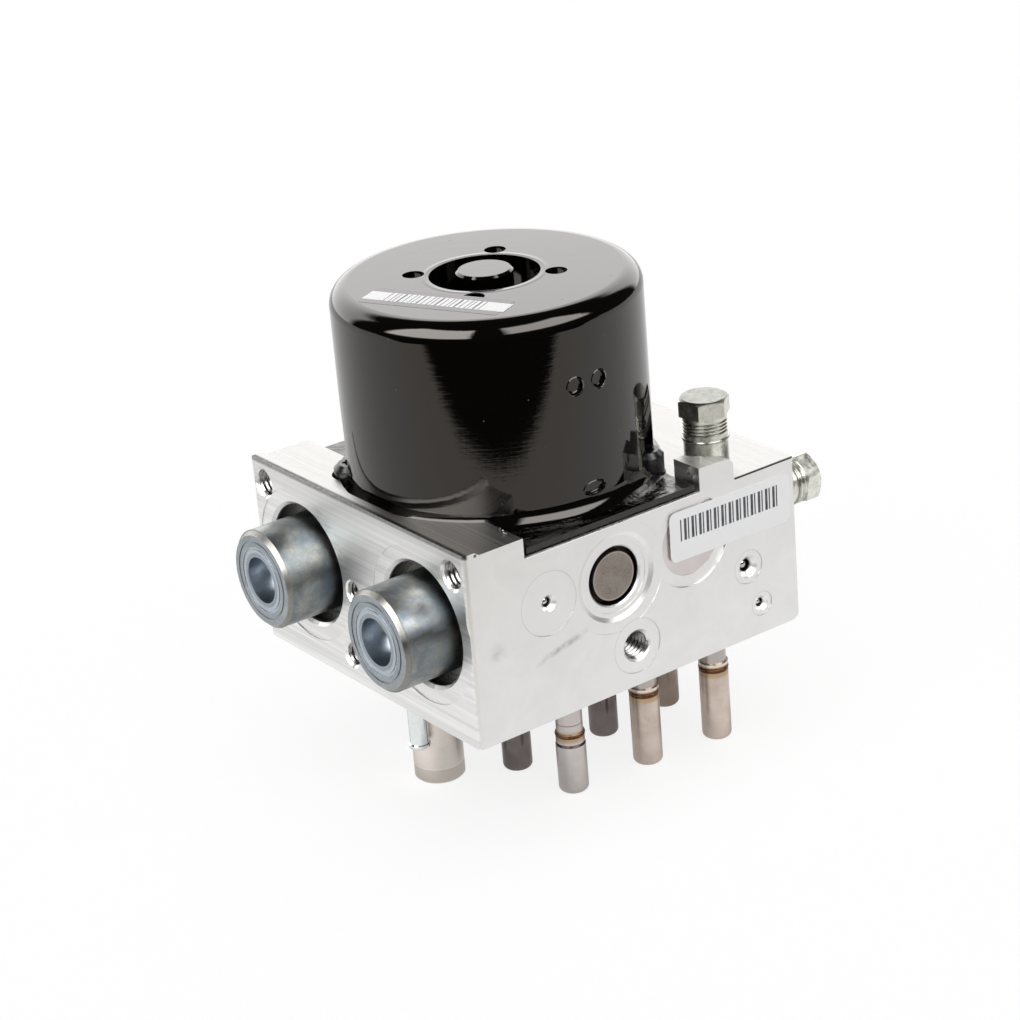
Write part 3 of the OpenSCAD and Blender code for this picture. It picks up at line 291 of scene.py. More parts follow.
# Painted shade: a thin dark outline round each spotface on the front face
outlines = []
for x, z, radius in ((-20.4, 30.4, 8.15), (4.9, 10.4, 7.06), (41.1, 19.3, 4.4), (44.9, 8.05, 3.2)):
    ring = strip_mask(tree, radius_from(tree, place, (x, 0, z), (1, 0, 1)),
                      radius - 0.16, radius + 0.16, 0.1)
    outlines.append(times(tree, ring, on_front, 0.35))
for mask, tint in ((edge_shade, (0.4, 0.395, 0.385)), (left_edge, (0.06, 0.06, 0.058)),
                   (painted_lip_shadow, (0.06, 0.058, 0.055)), (painted_edge_shadow, (0.03, 0.03, 0.03)),
                   (painted_edge_highlight, (0.95, 0.95, 0.93)), (scuff, (0.16, 0.155, 0.15)),
                   (smear, (0.2, 0.195, 0.19)), (inside, (0.035, 0.034, 0.033)),
                   *((outline, (0.2, 0.195, 0.19)) for outline in outlines),
                   *((mouth, (0.97, 0.965, 0.95)) for mouth in mouths)):
    colour = blend(tree, mask, colour, tint)
set_surface(tree, shader, colour, between(tree, tone, 0.34, 0.46), height, 0.000012)
dress(block_metal, "valve_block")


# Cut threads: the bracket's hole in the front face and the four holes in the left face are tapped.
# The turns of the thread are cut in the block's own metal, so they shine on their upper flanks.

def clear_selection():
    bpy.ops.object.select_all(action="DESELECT")


def start_edit():
    bpy.ops.object.mode_set(mode="EDIT")
    bpy.ops.mesh.select_all(action="SELECT")


def end_edit():
    """Turns the selected faces outward and leaves edit mode."""
    bpy.ops.mesh.normals_make_consistent(inside=False)
    bpy.ops.object.mode_set(mode="OBJECT")


def placed(piece, place, turn=(0, 0, 0)):
    """Turns a piece and puts it at a place in millimetres."""
    piece.rotation_euler = turn
    piece.location = [v * MM for v in place]
    return piece


def finish_piece(piece, name, material, body="hydraulic_unit", smooth=math.radians(35)):
    """Applies a piece's place, then names, smooths and dresses it and seats it on its body, if given."""
    clear_selection()
    piece.select_set(True)
    bpy.context.view_layer.objects.active = piece
    bpy.ops.object.transform_apply(location=True, rotation=True, scale=True)
    bpy.ops.object.shade_smooth_by_angle(angle=smooth)
    piece.name = name
    piece.data.name = name
    piece.data.materials.clear()
    piece.data.materials.append(material)
    if body:
        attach(piece, body)
    return piece


def apply_modifier(piece, kind, **settings):
    modifier = piece.modifiers.new(kind.lower(), kind)
    for name, value in settings.items():
        setattr(modifier, name, value)
    bpy.ops.object.modifier_apply(modifier=modifier.name)


def thread(foot, turn, root_r, crest_r, pitch, turns, steps=36):
    """A helical ridge round Z from root_r to crest_r, turned and put at foot; all in millimetres."""
    clear_selection()
    middle = (root_r + crest_r) / 2
    bpy.ops.mesh.primitive_plane_add(size=1, location=(middle * MM, 0, 0), rotation=(math.pi / 2, 0, 0))
    ridge = bpy.context.object
    ridge.scale = (abs(crest_r - root_r) * MM, pitch * 0.92 * MM, 1)
    bpy.ops.object.transform_apply(location=True, rotation=True, scale=True)
    bpy.ops.object.mode_set(mode="EDIT")
    bpy.ops.mesh.select_all(action="DESELECT")
    bpy.ops.object.mode_set(mode="OBJECT")
    for vertex in ridge.data.vertices:
        vertex.select = abs(vertex.co.x - crest_r * MM) < 1e-6
    bpy.ops.object.mode_set(mode="EDIT")
    bpy.ops.transform.resize(value=(1, 1, 0.12), center_override=(crest_r * MM, 0, 0))
    bpy.ops.mesh.select_all(action="SELECT")
    bpy.ops.mesh.delete(type="ONLY_FACE")
    bpy.ops.object.mode_set(mode="OBJECT")
    apply_modifier(ridge, "SCREW", axis="Z", angle=2 * math.pi, screw_offset=pitch * MM,
                   iterations=turns, steps=steps, render_steps=steps)
    start_edit()
    bpy.ops.mesh.remove_doubles(threshold=1e-7)
    bpy.ops.mesh.fill_holes(sides=4)
    end_edit()
    return placed(ridge, foot, turn)


cut_metal, tree, shader, place = new_material("cut_aluminium", 1.0)
turned = use_group(tree, patches, place, Scale=900.0, Contrast=2.0)["Mask"]
set_surface(tree, shader, blend(tree, turned, (0.14, 0.137, 0.132), (0.46, 0.452, 0.44)),
            between(tree, turned, 0.2, 0.36), turned, 0.000006)
# Turns that lead a piece's Z axis to the front and to the right
to_front = (math.pi / 2, 0, 0)
to_right = (0, math.pi / 2, 0)
finish_piece(thread((4.9, -33.2, 10.4), to_front, 3.5, 2.95, 1.25, 8), "bracket_hole_thread",
             cut_metal)
for name, y, z, radius, pitch in (
        ("left_thread_upper_rear", 42.3, 43.7, 3.4, 1.25),
        ("left_thread_upper_front", -38.1, 43.4, 3.4, 1.25),
        ("left_thread_middle", 5.7, 25, 2.8, 1.0), ("left_thread_lower", 8.9, 7, 2.8, 1.0)):
    finish_piece(thread((LEFT_X + 1.2, y, z), to_right, radius + 0.1, radius - 0.42, pitch, turns=7), name,
                 cut_metal)


# Burrs left by the saw and the cutter: a rolled bright edge along the front of the motor's slot
# and a few torn chips at the horn's inner corner.

clear_selection()
bpy.ops.mesh.primitive_cylinder_add(vertices=10, radius=0.16 * MM, depth=52.6 * MM, rotation=to_right,
                                    location=(0.3 * MM, (FRONT_Y + 0.18) * MM, SEAT_Z * MM))
rolled_edge = bpy.context.object
bpy.ops.object.transform_apply(location=True, rotation=True, scale=True)
start_edit()
bpy.ops.mesh.bisect(plane_co=(0, 0, (SEAT_Z - 0.02) * MM), plane_no=(0, 0, 1), clear_inner=True,
                    use_fill=True)
bpy.ops.mesh.select_all(action="SELECT")
bpy.ops.mesh.subdivide(number_cuts=12, smoothness=0)
bpy.ops.transform.vertex_random(offset=0.00003, uniform=0.2, seed=7)
bpy.ops.object.mode_set(mode="OBJECT")
finish_piece(rolled_edge, "slot_edge_burr", cut_metal)

for number, (x, y, z, length) in enumerate((
        (-27.4, -38.6, 49.25, 1.1), (-26.9, -37.2, 49.25, 0.8), (-26.8, -35.6, 49.25, 0.5),
        (26.9, -40.7, 48.6, 2.2), (26.9, -42.0, 47.2, 1.1))):
    clear_selection()
    lean = 0.5 if z > HORN_Z else 1.4
    bpy.ops.mesh.primitive_cube_add(size=1, location=(x * MM, y * MM, z * MM),
                                    rotation=(0.3, lean, 0.6 * number))
    chip = bpy.context.object
    chip.scale = (length * MM, 0.6 * length * MM, 0.22 * MM)
    bpy.ops.object.transform_apply(location=False, rotation=False, scale=True)
    start_edit()
    bpy.ops.mesh.subdivide(number_cuts=2)
    bpy.ops.transform.vertex_random(offset=0.00012, uniform=0.3, seed=11 + number)
    bpy.ops.object.mode_set(mode="OBJECT")
    finish_piece(chip, "torn_chip_%d" % (number + 1), cut_metal)


# The label on the front face: a white paper plate with round corners, stuck half over the damper.
# It carries a plain row of bars that stands for no number.

def label_plate(centre, size, corner, thickness, turn):
    """A thin plate with round corners in the XY plane, printed side up, then turned and placed."""
    clear_selection()
    bpy.ops.mesh.primitive_plane_add(size=1)
    plate = bpy.context.object
    plate.scale = (size[0] * MM, size[1] * MM, 1)
    bpy.ops.object.transform_apply(location=True, rotation=True, scale=True)
    start_edit()
    bpy.ops.mesh.bevel(offset=corner * MM, segments=6, affect="VERTICES")
    bpy.ops.mesh.select_all(action="SELECT")
    bpy.ops.mesh.extrude_region_move(TRANSFORM_OT_translate={"value": (0, 0, thickness * MM)})
    bpy.ops.mesh.select_all(action="SELECT")
    end_edit()
    return placed(plate, centre, turn)


def bar_row(centre, length, height, thickness, turn, widths):
    """Upright bars side by side along X: one bar is modelled, the rest are copies of it."""
    clear_selection()
    bpy.ops.mesh.primitive_cube_add(size=1, location=(0, 0, 0))
    first = bpy.context.object
    first.scale = (MM, height * MM, thickness * MM)
    bpy.ops.object.transform_apply(location=True, rotation=True, scale=True)
    start_edit()
    bpy.ops.mesh.bevel(offset=thickness * 0.2 * MM, segments=1, affect="EDGES")
    bpy.ops.object.mode_set(mode="OBJECT")
    bars = [first]
    unit = length / sum(widths)
    start = -length / 2
    for number, width in enumerate(widths):
        if number % 2 == 0:
            bar = first.copy()
            bar.data = first.data.copy()
            bpy.context.collection.objects.link(bar)
            bar.data.transform(Matrix.LocRotScale(Vector(((start + width * unit / 2) * MM, 0, 0)), None,
                                                  Vector((width * unit, 1, 1))))
            bars.append(bar)
        start += width * unit
    bpy.data.objects.remove(first)
    clear_selection()
    for bar in bars[1:]:
        bar.select_set(True)
    bpy.context.view_layer.objects.active = bars[1]
    bpy.ops.object.join()
    return placed(bpy.context.object, centre, turn)


paper, tree, shader, place = new_material("label_paper", 0.0)
fibres = use_group(tree, patches, place, Scale=900.0, Contrast=1.2)["Mask"]
set_surface(tree, shader, blend(tree, fibres, (0.975, 0.975, 0.985), (1.0, 1.0, 1.0)),
            between(tree, fibres, 0.38, 0.5), fibres, 0.000004)
ink, tree, shader, place = new_material("label_ink", 0.0)
faded = use_group(tree, patches, place, Scale=700.0, Contrast=3.0)["Mask"]
tree.links.new(blend(tree, faded, (0.02, 0.02, 0.024), (0.12, 0.12, 0.14)),
               shader.inputs["Base Color"])
tree.links.new(between(tree, faded, 0.35, 0.6), shader.inputs["Roughness"])
EVEN_BARS = [1, 2, 2, 1] * 13 + [1]
label_turn = (math.pi / 2, math.radians(1.0), 0)
finish_piece(label_plate((36.2, -43.99, 34.2), (38.6, 13.0), 2.0, 0.07, label_turn), "front_label",
             paper)
finish_piece(bar_row((35.8, -44.06, 35.6), 31.2, 5.6, 0.02, label_turn, EVEN_BARS), "front_label_bars",
             ink)


# The two accumulators: drawn steel cups with a blue passivated zinc coat close the bores on the
# left; behind each a turned aluminium piston with a rubber seal rides against a coiled wire spring.

def plain_finish(name, dark, light, rough, metallic=1.0, scale=150.0, contrast=2.0, depth=0.000006,
                 stretch=None, rings_about=None, coat=0.0):
    """A finish with soft patches, and fine tool lines or turned rings where they are asked for."""
    material, tree, shader, place = new_material(name, metallic, coat=coat)
    mask = use_group(tree, patches, place, Scale=scale, Contrast=contrast)["Mask"]
    height = mask
    if stretch:
        height = use_group(tree, grain, place, Stretch=stretch)["Height"]
    if rings_about:
        centre, plane, pitch = rings_about
        height = use_group(tree, rings, place, Centre=[v * MM for v in centre], Plane=plane,
                           Pitch=pitch * MM)["Height"]
    set_surface(tree, shader, blend(tree, mask, dark, light), between(tree, height, *rough), height, depth)
    return material


def cup_finish(name, y):
    material, tree, shader, place = new_material(name, 1.0)
    coarse = use_group(tree, patches, place, Scale=110.0, Contrast=3.0)["Mask"]
    grit = use_group(tree, patches, place, Scale=1700.0, Contrast=2.2)["Mask"]
    small = use_group(tree, patches, place, Scale=260.0, Contrast=3.0)["Mask"]
    radius = radius_from(tree, place, (0, y, CUP_Z), (0, 1, 1))
    depth_way = along(tree, place, (1, 0, 0))
    colour = blend(tree, coarse, (0.165, 0.165, 0.16), (0.50, 0.495, 0.44))
    colour = blend(tree, times(tree, small, 0.65), colour, (0.14, 0.21, 0.28))
    end_tint = blend(tree, small, (0.30, 0.33, 0.36), (0.45, 0.48, 0.50))
    colour = blend(tree, strip_mask(tree, depth_way, -57, -56.1, 0.1), colour, end_tint)
    for low, high, tint in ((7.0, 8.7, (0.58, 0.65, 0.71)), (0, 6.6, (0.37, 0.42, 0.48)),
                            (9.6, 10.3, (0.36, 0.41, 0.45))):
        colour = blend(tree, times(tree, strip_mask(tree, radius, low, high, 0.15), 0.8), colour, tint)
    rim = times(tree, strip_mask(tree, radius, 11.6, 12.76, 0.2),
                strip_mask(tree, depth_way, -56.4, -55.3, 0.1))
    colour = blend(tree, rim, colour, (0.29, 0.28, 0.25))
    colour = blend(tree, times(tree, grit, 0.35), colour, (0.12, 0.122, 0.12))
    set_surface(tree, shader, colour, between(tree, small, 0.3, 0.46), small, 0.000004)
    return material


for side, y in CUP_Y.items():
    dress(cup_finish("blue_zinc_" + side, y), "accumulator_cup_" + side)
    dress(plain_finish("piston_aluminium_" + side, (0.66, 0.66, 0.65), (0.80, 0.80, 0.79), (0.2, 0.34),
                       rings_about=((0, y, CUP_Z), (0, 1, 1), 0.12)), "accumulator_piston_" + side)
dress(plain_finish("seal_rubber", (0.012, 0.012, 0.013), (0.03, 0.03, 0.031), (0.5, 0.7), metallic=0.0,
                   scale=500.0, depth=0.00001), "accumulator_seal_front", "accumulator_seal_rear")
spring_wire = plain_finish("spring_wire", (0.36, 0.35, 0.33), (0.55, 0.54, 0.51), (0.22, 0.36), scale=600.0)
dress(spring_wire, "accumulator_spring_front", "accumulator_spring_rear", "accumulator_retaining_rings")


def coil_spring(foot, turn, radius, wire, length, turns, sides=8):
    """A wire coil round Z that stands on foot, then turned; all in millimetres."""
    clear_selection()
    bpy.ops.mesh.primitive_circle_add(vertices=sides, radius=wire * MM, rotation=(math.pi / 2, 0, 0),
                                      location=(radius * MM, 0, wire * MM))
    coil = bpy.context.object
    bpy.ops.object.transform_apply(location=True, rotation=True, scale=True)
    apply_modifier(coil, "SCREW", axis="Z", angle=2 * math.pi, iterations=turns, steps=32, render_steps=32,
                   screw_offset=(length - 2 * wire) / turns * MM)
    start_edit()
    bpy.ops.mesh.remove_doubles(threshold=1e-7)
    bpy.ops.mesh.fill_holes(sides=sides)
    end_edit()
    return placed(coil, foot, turn)


def moved_copy(piece, name, move):
    """A copy of a piece with a mesh of its own, moved by a matrix."""
    twin = piece.copy()
    twin.data = piece.data.copy()
    bpy.context.collection.objects.link(twin)
    twin.data.transform(move)
    twin.name = name
    twin.data.name = name
    return twin


def set_coil(coil, node):
    """Bakes the coil's place into its mesh and hides the CAD spring node."""
    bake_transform(coil)
    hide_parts(node)


FOOT_X, HEAD_X = -54.25, -28.95
front_coil = finish_piece(coil_spring((FOOT_X, CUP_Y["front"], CUP_Z), to_right, 9.4, 0.65, 25.3, 5),
                          "accumulator_coil_front", spring_wire, None, math.radians(60))
rear_coil = moved_copy(front_coil, "accumulator_coil_rear",
                       Matrix.Translation((0, (CUP_Y["rear"] - CUP_Y["front"]) * MM, 0)))
for coil, (side, y) in zip((front_coil, rear_coil), CUP_Y.items()):
    set_coil(coil, "accumulator_spring_" + side)


# The pump: two steel cylinders in the block's middle, each with a hardened piston and a return
# spring, closed by a dark phosphated steel plug that is staked into the bore.

PUMP_Z = 30.3
dress(plain_finish("pump_steel", (0.46, 0.47, 0.48), (0.62, 0.63, 0.64), (0.18, 0.32),
                   rings_about=((0, 0, PUMP_Z), (1, 0, 1), 0.1)), "pump_cylinder_front", "pump_cylinder_rear")
dress(plain_finish("ground_steel", (0.60, 0.61, 0.62), (0.72, 0.73, 0.74), (0.1, 0.18),
                   stretch=(3000, 80, 3000)), "pump_piston_front", "pump_piston_rear")
dress(spring_wire, "pump_spring_front", "pump_spring_rear")
front_coil = finish_piece(coil_spring((0, -22.42, PUMP_Z), to_front, 2.5, 0.3, 8.76, 5),
                          "pump_coil_front", spring_wire, None, math.radians(60))
rear_coil = moved_copy(front_coil, "pump_coil_rear", Matrix.Rotation(math.pi, 4, "Z"))
for coil, side, way in ((front_coil, "front", -1), (rear_coil, "rear", 1)):
    set_coil(coil, "pump_spring_" + side)

plug_brown, tree, shader, place = new_material("phosphated_steel", 1.0)
grains = use_group(tree, patches, place, Scale=2600.0, Contrast=2.6)["Mask"]
stains = use_group(tree, patches, place, Scale=260.0, Contrast=2.5)["Mask"]
disc_r = radius_from(tree, place, (0, 0, PUMP_Z), (1, 0, 1))
colour = blend(tree, stains, (0.17, 0.14, 0.122), (0.27, 0.235, 0.21))
colour = blend(tree, times(tree, grains, 0.6), colour, (0.42, 0.38, 0.34))
# Painted highlight: a lighter ring round the disc's rim. Painted shade: a near-black ring outside the disc,
# where the gap round the plug lies in shadow.
colour = blend(tree, strip_mask(tree, disc_r, 5.75, 6.19, 0.1), colour, (0.40, 0.36, 0.33))
colour = blend(tree, strip_mask(tree, disc_r, 6.195, 8, 0.01), colour, (0.035, 0.026, 0.022))
set_surface(tree, shader, colour, between(tree, grains, 0.36, 0.55), grains, 0.000004)
dress(plug_brown, "pump_plug_front", "pump_plug_rear")


# The damper: a bright cap of pressed steel closes its bore in the front face. Steel balls are
# pressed into the mouths of the drilled passages.

dress(plain_finish("damper_steel", (0.60, 0.54, 0.525), (0.74, 0.70, 0.69), (0.26, 0.4), scale=60.0,
                   rings_about=((23.3, 0, 31.9), (1, 0, 1), 0.2)), "damper_plug")
dress(plain_finish("ball_steel", (0.50, 0.47, 0.44), (0.70, 0.67, 0.64), (0.08, 0.2), scale=900.0),
      "ball_plugs")


# The valves: eight deep-drawn stainless domes stand out of the lower face. Three have a bare neck
# and a brown weld seam, one a welded cap; armature, seat and spring sit inside each.

def dome_finish(name, dark, light, rough, bands):
    material, tree, shader, place = new_material(name, 1.0)
    stain = use_group(tree, patches, place, Scale=140.0, Contrast=2.0)["Mask"]
    drawn = use_group(tree, grain, place, Stretch=(2600, 2600, 90), Contrast=2.0)["Height"]
    down = along(tree, place, (0, 0, 1))
    colour = blend(tree, stain, dark, light)
    for low, high, soft, tint in bands:
        colour = blend(tree, strip_mask(tree, down, low, high, soft), colour, tint)
    set_surface(tree, shader, colour, between(tree, drawn, *rough), drawn, 0.000006)
    return material


SILVER, STRAW, WELD, EDGE = (0.46, 0.42, 0.395), (0.46, 0.33, 0.22), (0.10, 0.04, 0.018), (0.72, 0.69, 0.66)
capped = dome_finish("dome_capped", (0.50, 0.455, 0.435), (0.62, 0.575, 0.555), (0.24, 0.4), (
    (-9.3, -8.9, 0.1, (0.30, 0.26, 0.24)), (-14.1, -10.6, 0.9, STRAW), (-12.75, -11.6, 0.25, WELD),
    (-15.1, -14.2, 0.15, (0.20, 0.17, 0.16))))
necked = dome_finish("dome_welded", (0.46, 0.37, 0.31), (0.70, 0.60, 0.53), (0.22, 0.38), (
    (-6.4, 1, 0.2, SILVER), (-10.6, -6.5, 0.8, STRAW), (-9.1, -7.4, 0.3, WELD), (-7.3, -6.6, 0.12, EDGE)))
polished = dome_finish("dome_polished", (0.15, 0.128, 0.12), (0.26, 0.225, 0.215), (0.12, 0.22), ())
# Painted shade: the two rear domes' colour is darkened to their look in shadow; the brown hue is their own
beige_in_shade = dome_finish("dome_beige_in_shade", (0.26, 0.20, 0.16), (0.36, 0.285, 0.235), (0.22, 0.38), ())
dress(capped, "valve_dome_1")
dress(necked, "valve_dome_2", "valve_dome_3", "valve_dome_8")
dress(polished, "valve_dome_4", "valve_dome_5")
dress(beige_in_shade, "valve_dome_6", "valve_dome_7")
dress(plain_finish("armature_steel", (0.40, 0.41, 0.42), (0.56, 0.57, 0.58), (0.2, 0.34),
                   stretch=(400, 400, 5000)), *("valve_armature_%d" % number for number in range(1, 9)))
dress(plain_finish("seat_steel", (0.44, 0.45, 0.46), (0.58, 0.59, 0.60), (0.22, 0.36),
                   stretch=(300, 300, 4200)), "valve_seats")
dress(spring_wire, "valve_springs")


def ring_bead(foot, radius, section):
    """A weld bead: a round section spun about the dome's axis."""
    clear_selection()
    bpy.ops.mesh.primitive_circle_add(vertices=10, radius=section * MM, rotation=(math.pi / 2, 0, 0),
                                      location=(radius * MM, 0, 0))
    bead = bpy.context.object
    bpy.ops.object.transform_apply(location=True, rotation=True, scale=True)
    start_edit()
    bpy.ops.mesh.spin(steps=64, angle=2 * math.pi, center=(0, 0, 0), axis=(0, 0, 1))
    bpy.ops.mesh.select_all(action="SELECT")
    bpy.ops.mesh.remove_doubles(threshold=1e-6)
    bpy.ops.transform.resize(value=(1, 1, 1.6))
    end_edit()
    return placed(bead, foot)


weld = plain_finish("weld_seam", (0.07, 0.028, 0.012), (0.22, 0.11, 0.05), (0.2, 0.45), scale=700.0,
                    contrast=4.0, depth=0.00003)
for number, (x, y, z, radius) in enumerate((
        (-8.9, -32.3, -12.1, 3.58), (13.5, -34, -8.2, 3.66), (34.6, -36, -8.2, 3.66),
        (36.5, 18, -8.2, 3.66))):
    finish_piece(ring_bead((x, y, z), radius, 0.2), "weld_bead_%d" % (number + 1), weld,
                 smooth=math.radians(60))


# The pressure sensor is a matte drawn can, welded shut near its foot; the motor's lead runs down
# through the block in a bright zinc-plated tube with a rolled end.

dress(dome_finish("sensor_steel", (0.78, 0.71, 0.65), (0.90, 0.83, 0.77), (0.36, 0.5), (
    (-27.6, -23.9, 0.2, (0.70, 0.64, 0.58)), (-24.1, -23.7, 0.12, (0.90, 0.85, 0.80)))), "pressure_sensor")
dress(plain_finish("bright_zinc", (0.54, 0.585, 0.60), (0.70, 0.735, 0.745), (0.14, 0.24), scale=240.0),
      "motor_lead_tube")
dress(plain_finish("drawn_copper", (0.62, 0.29, 0.14), (0.76, 0.42, 0.24), (0.2, 0.32),
                   stretch=(4000, 4000, 60)), "motor_lead_pins")


# A short sleeve with a rolled end is pressed into the lower face beside the sensor: thin steel
# tube with a clear blue zinc coat. It stands out less far than the valves' domes.

def spun_profile(points, foot, steps):
    """A closed profile of radius and height, drawn point by point and spun round Z."""
    clear_selection()
    bpy.ops.mesh.primitive_plane_add(size=MM)
    piece = bpy.context.object
    start_edit()
    bpy.ops.mesh.merge(type="CENTER")
    bpy.ops.transform.translate(value=(points[0][0] * MM, 0, points[0][1] * MM))
    for before, after in zip(points, points[1:] + points[:1]):
        move = ((after[0] - before[0]) * MM, 0, (after[1] - before[1]) * MM)
        bpy.ops.mesh.extrude_region_move(TRANSFORM_OT_translate={"value": move})
    bpy.ops.mesh.select_all(action="SELECT")
    bpy.ops.mesh.remove_doubles(threshold=1e-7)
    bpy.ops.mesh.spin(steps=steps, angle=2 * math.pi, center=(0, 0, 0), axis=(0, 0, 1))
    bpy.ops.mesh.select_all(action="SELECT")
    bpy.ops.mesh.remove_doubles(threshold=1e-7)
    end_edit()
    return placed(piece, foot)


sleeve_zinc = plain_finish("sleeve_zinc", (0.70, 0.745, 0.745), (0.86, 0.89, 0.885), (0.12, 0.22),
                           scale=300.0)
sleeve_outline = [(2.4, 0.3), (2.4, -14.3), (2.72, -14.6), (2.72, -15.2), (2.45, -15.5), (2.0, -15.3),
                  (1.9, -14.8), (1.9, 0.3)]
finish_piece(spun_profile(sleeve_outline, (-36.0, -6.2, 0), 48), "lower_sleeve", sleeve_zinc)


# The rotor: a ground shaft on a ball bearing, with an eccentric and its needle ring between the
# pump pistons, a laminated core wound with enamelled wire, and a copper commutator.

dress(plain_finish("shaft_steel", (0.50, 0.51, 0.53), (0.62, 0.63, 0.65), (0.12, 0.24),
                   stretch=(200, 200, 6000)), "motor_shaft")
bearing_steel = plain_finish("bearing_steel", (0.56, 0.57, 0.59), (0.70, 0.71, 0.73), (0.1, 0.2),
                             rings_about=((0, 0, 0), (1, 1, 0), 0.1))
dress(bearing_steel, "bearing_outer_ring", "bearing_inner_ring", "eccentric_ring")
dress(plain_finish("rolling_steel", (0.66, 0.67, 0.69), (0.76, 0.77, 0.79), (0.05, 0.12), scale=800.0),
      "bearing_balls", "eccentric_needles")
dress(plain_finish("laminated_steel", (0.22, 0.23, 0.245), (0.36, 0.37, 0.385), (0.3, 0.5), depth=0.00003,
                   stretch=(40, 40, 2000)), "armature_core")
dress(plain_finish("enamelled_wire", (0.45, 0.16, 0.05), (0.62, 0.28, 0.11), (0.16, 0.3), metallic=0.8,
                   scale=900.0, contrast=4.0, depth=0.00008, coat=0.6), "armature_windings")
dress(plain_finish("commutator_copper", (0.50, 0.24, 0.12), (0.70, 0.38, 0.22), (0.22, 0.36),
                   stretch=(400, 400, 5000)), "commutator")


# The brush gear: a moulded plastic plate round the shaft carries two brushes of pressed carbon.
# A coiled spring holds each brush against the commutator.

dress(plain_finish("moulded_plastic", (0.022, 0.022, 0.024), (0.04, 0.04, 0.042), (0.42, 0.58),
                   metallic=0.0, scale=1100.0, depth=0.00002), "brush_plate")
dress(plain_finish("pressed_carbon", (0.03, 0.03, 0.032), (0.065, 0.064, 0.064), (0.45, 0.65), metallic=0.2,
                   scale=1500.0, contrast=4.0, depth=0.00002), "brushes")
dress(spring_wire, "brush_springs")


# The can and its field: four sintered ferrite magnets and an oil-filled bronze bush sit inside a
# deep-drawn steel can with a gloss black coat; its flange lies in the block's slot.

dress(plain_finish("sintered_ferrite", (0.06, 0.06, 0.065), (0.115, 0.115, 0.12), (0.45, 0.65),
                   metallic=0.3, scale=700.0, contrast=3.0, depth=0.00003), "motor_magnets")
dress(plain_finish("sintered_bronze", (0.38, 0.24, 0.11), (0.56, 0.38, 0.20), (0.35, 0.5), scale=1400.0,
                   contrast=4.0, depth=0.00002), "upper_bush")

# Small specks, such as dust and pits, scattered over a surface
specks, given, result = new_group(
    "specks", {"Position": (0, 0, 0), "Scale": 400.0, "Size": 0.2, "Share": 0.3}, "Mask")
cells = add_node(specks, "ShaderNodeTexVoronoi")
specks.links.new(given["Position"], cells.inputs["Vector"])
specks.links.new(given["Scale"], cells.inputs["Scale"])
parts = add_node(specks, "ShaderNodeSeparateColor")
specks.links.new(cells.outputs["Color"], parts.inputs[0])
near = calc(specks, "LESS_THAN", cells.outputs["Distance"], given["Size"])
chosen = calc(specks, "LESS_THAN", parts.outputs[0], given["Share"])
specks.links.new(calc(specks, "MULTIPLY", near, chosen), result["Mask"])

can_paint, tree, shader, place = new_material("gloss_black_coat", 0.0, ior=1.56)
# The warm specular tint is painted reflected light: it stands in for a warm room seen in the gloss coat
shader.inputs["Specular Tint"].default_value = (1.0, 0.935, 0.88, 1)
peel = use_group(tree, patches, place, Scale=420.0, Contrast=1.0)["Mask"]
waves = use_group(tree, patches, place, Scale=45.0, Contrast=1.0)["Mask"]
drawn = use_group(tree, grain, place, Stretch=(45, 45, 1500), Contrast=1.0)["Height"]
dust = use_group(tree, specks, place, Scale=330.0, Size=0.09, Share=0.09)["Mask"]
crinkle = use_group(tree, patches, place, Scale=170.0, Contrast=1.4)["Mask"]
z_way = along(tree, place, (0, 0, 1))
moat_lip = times(tree, strip_mask(tree, radius_from(tree, place, (0, 0, 0)), 13.7, 15.6, 0.9),
                 strip_mask(tree, z_way, 97, 98, 0.1))
relief = calc(tree, "MULTIPLY_ADD", moat_lip, 26.0, calc(tree, "MULTIPLY_ADD", waves, 12.0, peel))
for centre, plane, low, high in (((-3.52, -37.94, 78.5), (1, 1, 1), 1.7, 2.5),
                                 ((3.52, -37.94, 78.5), (1, 1, 1), 1.7, 2.5),
                                 ((0, -38.1, 52), (0.52, 0.2, 1), 1.2, 1.85)):
    rim = strip_mask(tree, radius_from(tree, place, centre, plane), low, high, 0.35)
    relief = calc(tree, "ADD", relief, times(tree, rim, 60.0))
relief = calc(tree, "ADD", relief, times(tree, strip_mask(tree, z_way, 43, 47.2, 0.6), crinkle, 90.0))
relief = calc(tree, "MULTIPLY_ADD", drawn, 2.0, relief)
set_surface(tree, shader, blend(tree, dust, (0.0016, 0.0013, 0.0011), (0.06, 0.057, 0.053)),
            between(tree, dust, 0.045, 0.4), relief, 0.0000035)
dress(can_paint, "motor_can")


# The strip on the can's top: a clear film is stuck on the black coat, with a white band over it.
# The band is left plain, apart from a row of bars that stands for no number.

